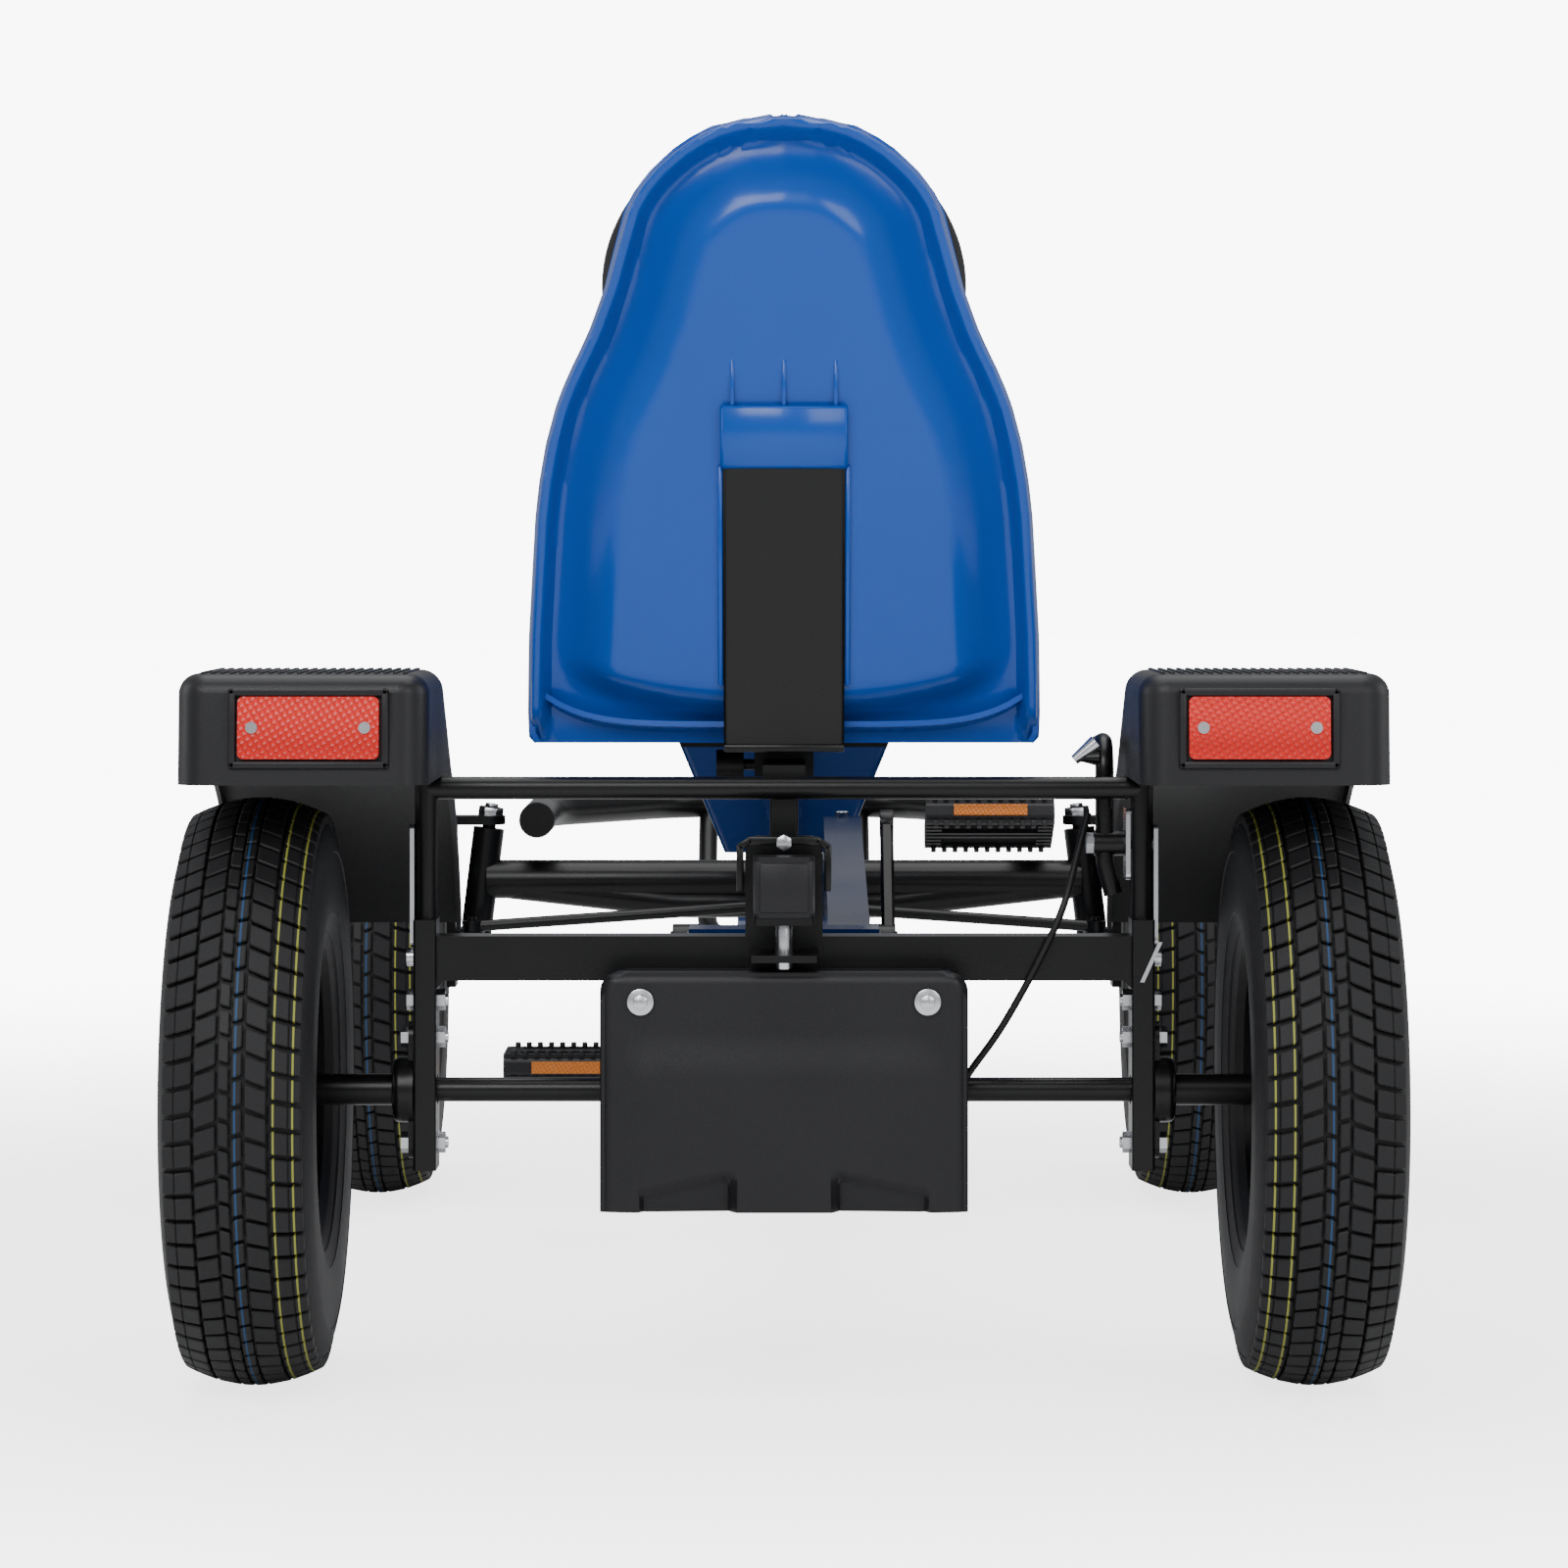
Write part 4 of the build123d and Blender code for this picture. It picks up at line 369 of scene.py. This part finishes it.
floorLinks.new(seen.outputs["Is Camera Ray"], paintedFloorGlow.inputs[0])
floorLinks.new(fade.outputs["Result"], paintedFloorGlow.inputs[1])
floorShader.inputs["Emission Color"].default_value = (1, 1, 1, 1)
floorLinks.new(paintedFloorGlow.outputs["Value"], floorShader.inputs["Emission Strength"])
floor.data.materials.append(floorLook)

world = bpy.data.worlds.new("studio")
bpy.context.scene.world = world
world.use_nodes = True
worldNodes, worldLinks = world.node_tree.nodes, world.node_tree.links
worldNodes["Background"].inputs["Color"].default_value = (0.95, 0.97, 1.0, 1)
worldNodes["Background"].inputs["Strength"].default_value = 0.42
plain = worldNodes.new("ShaderNodeBackground")
plain.inputs["Color"].default_value = (1, 1, 1, 1)
plain.inputs["Strength"].default_value = 9.0
sort = worldNodes.new("ShaderNodeLightPath")
blend = worldNodes.new("ShaderNodeMixShader")
worldLinks.new(sort.outputs["Is Camera Ray"], blend.inputs["Fac"])
worldLinks.new(worldNodes["Background"].outputs["Background"], blend.inputs[1])
worldLinks.new(plain.outputs["Background"], blend.inputs[2])
worldLinks.new(blend.outputs["Shader"], worldNodes["World Output"].inputs["Surface"])


def addLight(name, place, aim, size, power):
    light = bpy.data.objects.new(name, bpy.data.lights.new(name, "AREA"))
    bpy.context.scene.collection.objects.link(light)
    light.location = place
    light.rotation_euler = (Vector(aim) - Vector(place)).to_track_quat("-Z", "Y").to_euler()
    light.data.shape = "RECTANGLE"
    light.data.size, light.data.size_y = size
    light.data.energy = power
    return light


addLight("keyLight", (-3.4, 0.9, 2.2), (-0.6, 0, 0.5), (1.8, 1.4), 62)
addLight("fillLight", (-3.2, -1.6, 1.6), (-0.6, 0, 0.4), (1.4, 1.4), 26)
addLight("topLight", (0, 0, 3.4), (0, 0, 0), (3.4, 2.6), 95)
addLight("leftRim", (-0.4, 2.8, 1.3), (-0.3, 0, 0.4), (1.2, 1.8), 22)
addLight("rightRim", (-0.4, -2.8, 1.3), (-0.3, 0, 0.4), (1.2, 1.8), 22)
print("camera and lights ready")


def addBlock(name, corners, bevel=0.0):
    # a cube with each corner put in place, counted X low to high, then Y, then Z
    deselectAll()
    bpy.ops.mesh.primitive_cube_add(size=1)
    block = bpy.context.object
    block.name = name
    for corner, place in zip(block.data.vertices, corners):
        corner.co = place
    if bevel:
        addBevel(block, bevel, 1)
        applyAll(block)
    return block


def aroundAxle(obj, centre, count):
    # copies turned round a Y axis through the centre, by an array on a turned empty
    step = Matrix.Rotation(2 * math.pi / count, 4, "Y")
    turn = Matrix.Translation(centre) @ step @ Matrix.Translation(-Vector(centre))
    empty = bpy.data.objects.new("turned", None)
    bpy.context.scene.collection.objects.link(empty)
    empty.matrix_world = turn
    bpy.context.view_layer.update()
    ring = obj.modifiers.new("ring", "ARRAY")
    ring.count = count
    ring.use_relative_offset = False
    ring.use_object_offset = True
    ring.offset_object = empty
    applyAll(obj)
    bpy.data.objects.remove(empty)


# Tyres: a casing with moulded rings, and rows of tread blocks

tyre = {"radius": 0.205, "pitches": 68, "blockDepth": 0.007, "crownDrop": 0.011, "shoulder": 0.044}
rearLeftHub = Vector((-0.6, 0.3675, 0.205))


def crownRadius(across):
    return tyre["radius"] - tyre["crownDrop"] * (across / tyre["shoulder"]) ** 2


def treadBlock(inner, outer):
    # inner and outer are (distance from the middle, start, end), in millimetres
    corners = []
    for low in (1, 2):
        for edge in (inner, outer):
            for sink in (tyre["blockDepth"], 0):
                reach = crownRadius(abs(edge[0]) / 1000) - sink
                angle = edge[low] / 1000 / tyre["radius"]
                spot = Vector((reach * math.sin(angle), edge[0] / 1000, reach * math.cos(angle)))
                corners.append(rearLeftHub + spot)
    return addBlock("treadBlock", corners, 0.0009)


def makeTyre():
    profile = [
        (36, 101.8), (42, 104.5), (44.6, 109), (45.2, 112), (46.6, 112.6), (47.4, 116),
        (49.6, 124), (50.2, 124.2), (50.6, 127), (51.6, 136), (52.1, 148), (51.8, 158),
        (51.4, 166), (52.0, 166.8), (51.8, 169), (50.2, 176),
        (47.4, 184), (44.4, 188), (38, 191), (26, 195.6), (13, 199.4), (0, 200.5),
    ]
    profile += [(-y, r) for y, r in reversed(profile[:-1])]
    rows = []
    steps = 144
    for step in range(steps + 1):
        angle = 2 * math.pi * step / steps
        rows.append([
            rearLeftHub + Vector((r / 1000 * math.sin(angle), y / 1000, r / 1000 * math.cos(angle)))
            for y, r in profile
        ])
    casing = addSheet("tyreCasing", rows, closed=True)
    casing.data.materials.append(looks["tyre_rubber"])
    blocks = []
    for side, phase in ((1, 0), (-1, 9.0)):
        for inner, outer in (
            ((0.7, 0.6, 16.6), (8, 2.8, 18.8)),
            ((9.6, 0, 15.8), (24, -5.5, 10.8)),
            ((26, 6, 21.6), (38, 3.4, 19.0)),
            ((38, 3.4, 19.0), (46.5, 2.4, 18.0)),
        ):
            blocks.append(treadBlock(
                (inner[0] * side, inner[1] + phase, inner[2] + phase),
                (outer[0] * side, outer[1] + phase, outer[2] + phase),
            ))
    tread = joinPieces("tread", blocks)
    tread.data.materials.append(treadLook)
    aroundAxle(tread, rearLeftHub, tyre["pitches"])
    whole = joinPieces("rearTyreLeft", [casing, tread])
    cleanMesh(whole, 30)
    return whole


rearTyreLeft = makeTyre()
toFront = Matrix.Translation((1.07, 0, 0))
rearTyreRight = mirrorY(rearTyreLeft, "rearTyreRight")
frontTyreLeft = duplicatePiece(rearTyreLeft, "frontTyreLeft", toFront)
frontTyreRight = duplicatePiece(rearTyreRight, "frontTyreRight", toFront)
finishPiece(rearTyreLeft, "rear_axle", "tyre_rubber", ["rear_tyre_left"])
finishPiece(rearTyreRight, "rear_axle", "tyre_rubber", ["rear_tyre_right"])
finishPiece(frontTyreLeft, "front_wheel_left", "tyre_rubber", ["front_tyre_left"])
finishPiece(frontTyreRight, "front_wheel_right", "tyre_rubber", ["front_tyre_right"])
print("tyres made")

# Seat: back panel with a rolled rim and a trough, wings and pan

seat = {"rearX": -0.557, "lowZ": 0.446, "lean": math.tan(math.radians(14)), "wall": 0.004}
seatHalfWidths = [
    (446, 178), (450, 181.5), (467, 182), (522, 180.5), (576, 177), (606, 175), (631, 172),
    (658, 167), (685, 159.5), (699, 154), (712, 148), (726, 141), (739, 135), (767, 124.5),
    (794, 117), (821, 109), (835, 101), (848, 90),
    (862, 74), (872, 58), (878, 44), (882, 28), (884, 0),
]
wingReach = [
    (446, 230), (464, 300), (500, 322), (560, 292), (620, 205), (700, 130), (776, 76), (830, 50), (884, 34),
]
seatOutline = [(w, z) for z, w in seatHalfWidths]


def outlineGap(y, z, outline):
    best = 1000
    for (y1, z1), (y2, z2) in zip(outline, outline[1:]):
        dy, dz = y2 - y1, z2 - z1
        t = min(max(((y - y1) * dy + (z - z1) * dz) / (dy * dy + dz * dz), 0), 1)
        best = min(best, math.hypot(y - y1 - t * dy, z - z1 - t * dz))
    return best


def bottomCurve(y):
    # height of the panel's lower edge, low in the middle and rising to the corners
    return 459 + 36 * (abs(y) / 168) ** 2.6


def seatDepth(y, z):
    # how far the back stands behind its plane, in millimetres
    gap = outlineGap(abs(y), z, seatOutline)
    panel = smooth(14, 66, gap) * smooth(0, 24, z - bottomCurve(y))
    corner = smooth(468, 500, z)
    rim = (smooth(-1, 4, gap) - smooth(8, 17, gap)) * smooth(446, 470, z)
    return -17 + 28 * panel + 22 * rim + 3 * corner


def seatPlace(y, z, depth):
    leanBack = (z / 1000 - seat["lowZ"]) * seat["lean"]
    return Vector((seat["rearX"] - leanBack - depth / 1000, y / 1000, z / 1000))


def makeSeatBack():
    heights = [446, 447.5, 450, 454] + [458 + 5 * step for step in range(78)]
    heights += [847, 851, 855, 859, 863, 867, 871, 874, 877, 880, 882, 883.2, 883.9]
    rows = []
    for height in heights:
        wide = along([(z, w) for z, w in seatHalfWidths], height)
        shares = [math.sin(math.pi / 2 * step / 48) for step in range(-48, 49)]
        row = [seatPlace(wide * share, height, seatDepth(wide * share, height)) for share in shares]
        lip = [Vector((0.004, 0.0006, 0)), Vector((0.010, 0.0008, 0)), Vector((0.018, 0, 0))]
        left = [row[-1] + step for step in lip]
        right = [row[0] + Vector((step.x, -step.y, 0)) for step in reversed(lip)]
        rows.append(right + row + left)
    top = [corner + Vector((0.004, 0, 0.0004)) for corner in rows[-1]]
    rows.append(top)
    rows.append([corner + Vector((0.012, 0, 0.0004)) for corner in rows[-2]])
    return addSheet("seatBack", rows, thickness=0.0025)


def makeSeatWings():
    rows = []
    for step in range(61):
        height = 446 + 438 * step / 60
        reach = along(wingReach, height)
        row = []
        for share in [index / 24 for index in range(25)]:
            wide = along([(z, w) for z, w in seatHalfWidths], height) - 1.0
            wide = max(wide - 6 * share * share, 0)
            row.append(seatPlace(wide, height, -6 - (reach - 6) * share))
        edge = row[-1]
        row.append(edge + Vector((0.003, 0.004, 0)))
        row.append(edge + Vector((0.001, 0.009, -0.001)))
        rows.append(row)
    wing = addSheet("seatWing", rows, thickness=seat["wall"])
    other = mirrorY(wing, "seatWingRight")
    return [wing, other]


def makeSeatPan():
    rows = []
    for step in range(33):
        share = step / 32
        forward = -560 + 330 * share
        low = 452 + 22 * smooth(0.55, 1.0, share) + 10 * (1 - smooth(0, 0.12, share))
        row = []
        for index in range(41):
            across = -1 + index / 20
            rise = 26 * abs(across) ** 6
            row.append(Vector((forward / 1000, 0.176 * across, (low + rise) / 1000)))
        rows.append(row)
    return addSheet("seatPan", rows, thickness=seat["wall"])


def makeSeatSocket():
    pieces = []
    socketHeights = (640, 684)
    corners = []
    for sink in (23, 13):
        for y in (-44.5, 44.5):
            for z in socketHeights:
                corners.append(seatPlace(y, z, sink))
    pieces.append(addBlock("socket", corners, 0.0025))
    for y in (-36, 0, 36):
        rib = []
        for depth in (20, 13):
            for width in (-1.4, 1.4):
                for z in (682, 716):
                    tip = 6 if z == 716 and depth == 20 else 0
                    rib.append(seatPlace(y + width, z, depth - tip))
        pieces.append(addBlock("rib", rib, 0.0008))
    for side in (-1, 1):
        wall = []
        for depth in (18, 13):
            for y in sorted((side * 42.8, side * 46.4)):
                for z in (488, 642):
                    wall.append(seatPlace(y, z, depth))
        pieces.append(addBlock("socketWall", wall, 0.0008))
    return pieces


seatPieces = [makeSeatBack()] + makeSeatWings() + [makeSeatPan()] + makeSeatSocket()
for piece in seatPieces:
    cleanMesh(piece, 50)
seatShell = joinPieces("seatShell", seatPieces)
finishPiece(seatShell, "seat", "blue_plastic", ["seat_shell"], angle=50)
print("seat made")


def makeSeatStrip():
    # pressed steel strip with turned edges, foot under the pan
    half = 42.5
    rows = []
    for height in [441.5] + [446 + 6 * step for step in range(33)] + [640, 642.6]:
        top = 2.0 if height > 641 else 0.0
        row = []
        for y, depth in (
            (-half, 10), (-half, 19 - top), (-half + 1.2, 20.4 - top), (-half + 3, 21 - top),
            (0, 21.4 - top),
            (half - 3, 21 - top), (half - 1.2, 20.4 - top), (half, 19 - top), (half, 10),
        ):
            row.append(seatPlace(y, height, depth))
        rows.append(row)
    strip = addSheet("seatStrip", rows, thickness=0.003)
    foot = addCube("stripFoot", (0.092, 0.085, 0.005), (-0.534, 0, 0.4435), 0.001)
    return joinPieces("seatStrip", [strip, foot])


finishPiece(makeSeatStrip(), "seat", "black_paint", ["seat_bracket"])
print("seat strip made")

# Mudguards: fine ribs on top and a frame round each reflector's recess

for side, label in ((1, "Left"), (-1, "Right")):
    ribs = []
    for step in range(22):
        y = side * (0.2565 + 0.0065 * step)
        ribs.append(addCube("rib", (0.128, 0.0028, 0.0016), (-0.668, y, 0.5004), 0.0005))
    finishPiece(joinPieces("guardRibs" + label, ribs), "chassis", "black_plastic")
    rim = []
    y = side * 0.32
    frameSize = {"wide": 0.108, "tall": 0.054, "edge": 0.005}
    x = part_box("rear_reflectors")[0][0] + 0.0045
    for up in (-1, 1):
        flatSize = (0.005, frameSize["wide"], frameSize["edge"])
        uprightSize = (0.005, frameSize["edge"], frameSize["tall"])
        rim.append(addCube("edge", flatSize, (x, y, 0.4635 + up * 0.0245), 0.0015))
        rim.append(addCube("edge", uprightSize, (x, y + up * 0.0515, 0.4635), 0.0015))
    finishPiece(joinPieces("reflectorRecess" + label, rim), "chassis", "black_plastic")
print("mudguard details made")

# Chain cover: humped face with sloped facets along its lower edge

cover = {
    "rearX": -0.663, "half": 0.126, "low": 0.127, "top": 0.292, "corner": 0.013, "hump": 0.0045, "roll": 0.004,
    "facetIn": 0.033, "facetOut": 0.102, "facetLow": 0.140, "facetRise": 0.013,
}


def coverDepth(y, z, inset):
    # how far the face stands forward of the cover's rear plane; the hump is behind it
    hump = cover["hump"] * smooth(cover["half"], 0.09, y)
    if z > 0.15:
        hump *= smooth(0.255, 0.215, z)
    side = cover["roll"] * (1 - smooth(0, 0.005, cover["half"] - inset - y))
    upper = cover["roll"] * (1 - smooth(0, 0.005, cover["top"] - z))
    facet = 0
    if cover["facetIn"] < y < cover["facetOut"]:
        facetTop = cover["facetLow"] + cover["facetRise"] * (cover["facetOut"] - y) / 0.064
        facet = smooth(0.004, -0.004, z - facetTop)
        facet *= smooth(cover["facetIn"], 0.037, y) * smooth(cover["facetOut"], 0.098, y)
        facet *= 0.006 + 0.35 * max(facetTop - z, 0)
    return side + upper + facet - hump


def makeCoverFace():
    rows = []
    upward, across = 60, 80
    for step in range(upward + 1):
        z = cover["low"] + (cover["top"] - cover["low"]) * step / upward
        down = z - (cover["top"] - cover["corner"])
        inset = 0
        if down > 0:
            inset = cover["corner"] - math.sqrt(max(cover["corner"] ** 2 - down * down, 0))
        row = []
        for index in range(across + 1):
            y = -cover["half"] + 2 * cover["half"] * index / across
            y = math.copysign(min(abs(y), cover["half"] - inset), y)
            row.append(Vector((cover["rearX"] + coverDepth(abs(y), z, inset), y, z)))
        rows.append(row)
    return addSheet("coverFace", rows)


coverFace = makeCoverFace()
thick = coverFace.modifiers.new("solid", "SOLIDIFY")
thick.thickness = 0.003
thick.offset = 0
applyAll(coverFace)
finishPiece(coverFace, "chassis", "black_plastic")
coverBolts = []
for y in (-0.099, 0.099):
    coverBolts.append(addRod("washer", (-0.6655, y, 0.272), (-0.6678, y, 0.272), 0.0092, 36, 0.0006))
    coverBolts.append(addRod("head", (-0.6678, y, 0.272), (-0.6722, y, 0.272), 0.0056, 6, 0.0009))
    coverBolts.append(addRod("crown", (-0.6722, y, 0.272), (-0.6732, y, 0.272), 0.0034, 24, 0.0004))
finishPiece(joinPieces("coverBoltHeads", coverBolts), "chassis", "zinc_steel")
print("cover made")

# Tow pin grip, hitch strap, screws, knuckle nuts, the pedals' teeth and the crank arms

grip = addCube("towGrip", (0.0305, 0.0425, 0.043), (-0.658, 0, 0.351), 0.005)
gripFace = addCube("gripFace", (0.003, 0.034, 0.034), (-0.6730, 0, 0.351), 0.0012)
finishPiece(joinPieces("towGrip", [grip, gripFace]), "tow_pin", "black_plastic")
towPin = addRod("towPinShank", (-0.658, 0, 0.2942), (-0.658, 0, 0.3305), 0.0057, 40, 0.0006)
finishPiece(towPin, "tow_pin", "zinc_steel")
slantSize, strapSlant = (0.004, 0.011, 0.005), math.radians(32)
strap = [
    addCube("strapTop", (0.004, 0.05, 0.006), (-0.6375, 0, 0.3815), 0.001),
    addCube("strapLeft", (0.004, 0.005, 0.032), (-0.6375, 0.0305, 0.3625), 0.001),
    addCube("strapRight", (0.004, 0.005, 0.032), (-0.6375, -0.0305, 0.3625), 0.001),
    addCube("strapSlantLeft", slantSize, (-0.6375, 0.0272, 0.3795), 0.001, (-strapSlant, 0, 0)),
    addCube("strapSlantRight", slantSize, (-0.6375, -0.0272, 0.3795), 0.001, (strapSlant, 0, 0)),
    addRod("strapStem", (-0.6195, 0, 0.3795), (-0.6360, 0, 0.3795), 0.004, 20),
]
finishPiece(joinPieces("hitchStrap", strap), "chassis", "black_paint")
strapBolt = addRod("strapBolt", (-0.6395, 0, 0.3805), (-0.6455, 0, 0.3805), 0.0062, 6, 0.0012)
finishPiece(strapBolt, "chassis", "zinc_steel")
caseScrew = addRod("caseScrew", (0.225, -0.05, 0.3535), (0.225, -0.05, 0.3585), 0.0055, 28, 0.0012)
finishPiece(caseScrew, "chassis", "zinc_steel")
deselectAll()
bpy.ops.mesh.primitive_cone_add(
    vertices=28, radius1=0.0062, radius2=0.0036, depth=0.02,
    location=(-0.583, -0.2125, 0.4415), rotation=(math.radians(-128), 0, 0),
)
leverTip = bpy.context.object
leverTip.name = "leverTip"
applyAll(leverTip)
finishPiece(leverTip, "brake_lever", "zinc_steel")
jog = []
for x in (-0.6210, -0.6190):
    for y, z in ((-0.2625, 0.3085), (-0.2498, 0.2805)):
        for step in (-0.0015, 0.0015):
            jog.append(Vector((x - 0.002, y + step, z + abs(step))))
finishPiece(addBlock("braceJog", jog), "chassis", "zinc_steel")


def hexNut(name, place, up, across=0.018, height=0.008):
    deselectAll()
    turn = Vector(up).to_track_quat("Z", "Y").to_euler()
    bpy.ops.mesh.primitive_cylinder_add(
        vertices=6, radius=across / 1.732, depth=height, location=place, rotation=turn
    )
    nut = bpy.context.object
    addBevel(nut, 0.001)
    applyAll(nut)
    middle, direction = Vector(place), Vector(up).normalized()
    top = middle + direction * height * 0.5
    stud = addRod("stud", top, top + direction * height * 0.4, across * 0.3, 20, 0.0008)
    under = (middle - direction * height * 0.7, middle - direction * height * 0.5)
    washer = addRod("washer", under[0], under[1], across * 0.66, 28)
    return joinPieces(name, [nut, stud, washer])


for out, label in ((1, "left"), (-1, "right")):
    leaning = Vector((0, -out * math.sin(math.radians(7)), math.cos(math.radians(7))))
    post = Vector((0.47, out * 0.274, 0.287)) + leaning * 0.0585
    nuts = [
        hexNut("kingNut", post, leaning, 0.02, 0.009),
        hexNut("armBolt", (0.4465, out * 0.3015, 0.290), (-1, 0, 0), 0.011, 0.006),
    ]
    finishPiece(joinPieces("knuckleNuts" + label, nuts), "knuckle_" + label, "zinc_steel")

for out, label in ((1, "left"), (-1, "right")):
    low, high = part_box("pedal_" + label)
    middle = (Vector(low) + Vector(high)) / 2
    tilt = math.radians(22) if out < 0 else 0
    teeth = []
    for end in (-1, 1):
        for step in range(11):
            y = out * (0.132 + 0.0095 * step)
            for up in (-1, 1):
                tooth = addCube("tooth", (0.006, 0.0045, 0.0055), (end * 0.033, y, up * 0.0118), 0.0008)
                teeth.append(tooth)
    row = joinPieces("pedalTeeth" + label, teeth)
    row.data.transform(Matrix.Translation((middle[0], 0, middle[2])) @ Matrix.Rotation(tilt, 4, "Y"))
    finishPiece(row, "pedal_" + label, "black_plastic")
crankMiddle = Vector((0.225, 0, 0.246))
for out, label, tip in ((1, "left", (0.1463, 0.1489)), (-1, "right", (0.3037, 0.3431))):
    reach = Vector((tip[0], 0, tip[1])) - crankMiddle
    square = Vector((-reach.z, 0, reach.x)).normalized()
    corners = []
    for share, half in ((0.0, 0.0135), (1.0, 0.0095)):
        for y in sorted((out * 0.0842, out * 0.0958)):
            for way in (-1, 1):
                corners.append(crankMiddle + reach * share + square * half * way + Vector((0, y, 0)))
    hub = Vector((0, out * 0.072, 0))
    face = Vector((0, out * 0.0961, 0))
    back = Vector((0, out * 0.084, 0))
    arms = [
        addBlock("arm", corners, 0.0025),
        addRod("hub", crankMiddle + hub, crankMiddle + face, 0.0152, 40, 0.001),
        addRod("eye", crankMiddle + reach + back, crankMiddle + reach + face, 0.0122, 36, 0.001),
        addRod("cap", crankMiddle + face, crankMiddle + face + Vector((0, out * 0.002, 0)), 0.009, 24, 0.0006),
    ]
    finishPiece(joinPieces("crankArm" + label, arms), "crank", "black_paint", ["crank_" + label])
print("small parts made")

# Chains: link plates and rollers along each loop

links = {"pitch": 0.0127, "plate": 0.0042, "roller": 0.0039}


def loopPlace(first, firstRadius, second, secondRadius, travel):
    # point and heading on the open belt line round two circles in the X Z plane
    gap = second - first
    span = gap.length
    lean = math.asin((firstRadius - secondRadius) / span)
    ahead = math.atan2(gap.z, gap.x)
    straight = math.sqrt(span * span - (firstRadius - secondRadius) ** 2)
    firstArc = firstRadius * (math.pi + 2 * lean)
    secondArc = secondRadius * (math.pi - 2 * lean)
    total = 2 * straight + firstArc + secondArc
    travel %= total
    upper = ahead + math.pi / 2 - lean
    lower = ahead - math.pi / 2 + lean
    if travel < straight:
        start = first + Vector((math.cos(upper), 0, math.sin(upper))) * firstRadius
        heading = upper - math.pi / 2
        return start + Vector((math.cos(heading), 0, math.sin(heading))) * travel, heading, total
    travel -= straight
    if travel < secondArc:
        angle = upper - travel / secondRadius
        outward = Vector((math.cos(angle), 0, math.sin(angle)))
        return second + outward * secondRadius, angle - math.pi / 2, total
    travel -= secondArc
    if travel < straight:
        start = second + Vector((math.cos(lower), 0, math.sin(lower))) * secondRadius
        heading = lower - math.pi / 2
        return start + Vector((math.cos(heading), 0, math.sin(heading))) * travel, heading, total
    travel -= straight
    angle = lower - travel / firstRadius
    return first + Vector((math.cos(angle), 0, math.sin(angle))) * firstRadius, angle - math.pi / 2, total


def makeChain(name, node, first, firstRadius, second, secondRadius, y):
    first, second = Vector(first), Vector(second)
    total = loopPlace(first, firstRadius, second, secondRadius, 0)[2]
    count = round(total / links["pitch"])
    half = links["pitch"] / 2
    pieces = []
    for spread in (-0.0036, 0.0036):
        pieces.append(addCube("plate", (links["pitch"], 0.0011, 0.0064), (0, spread, 0), 0.0))
        pieces.append(addRod("eye", (half, spread - 0.0006, 0), (half, spread + 0.0006, 0), 0.0044, 12))
        pieces.append(addRod("eye", (-half, spread - 0.0006, 0), (-half, spread + 0.0006, 0), 0.0044, 12))
    pieces.append(addRod("roller", (half, -0.0034, 0), (half, 0.0034, 0), links["roller"], 12))
    pieces.append(addRod("pin", (half, -0.0052, 0), (half, 0.0052, 0), 0.0018, 10))
    link = joinPieces("link", pieces)
    copies = []
    for index in range(count):
        place, heading, total = loopPlace(first, firstRadius, second, secondRadius, total * index / count)
        copy = bpy.data.objects.new("link", link.data.copy())
        bpy.context.scene.collection.objects.link(copy)
        stagger = 1.0 if index % 2 else 0.72
        turn = Matrix.Translation(place + Vector((0, y, 0))) @ Matrix.Rotation(-heading, 4, "Y")
        copy.data.transform(turn @ Matrix.Diagonal((1, stagger, 1, 1)))
        copies.append(copy)
    bpy.data.objects.remove(link)
    finishPiece(joinPieces(name, copies), "chassis", "zinc_steel", [node], look=chainLook)


chainLook = surface("chainSteel", (0.16, 0.155, 0.15), rough=0.35, metal=1.0, grain=40, bump=0.05)
makeChain("axleChain", "axle_chain", (-0.6, 0, 0.205), 0.0366, (-0.41, 0, 0.226), 0.0366, 0.05)
makeChain("driveChain", "drive_chain", (0.225, 0, 0.246), 0.0971, (-0.41, 0, 0.226), 0.0406, -0.05)
print("chains made")
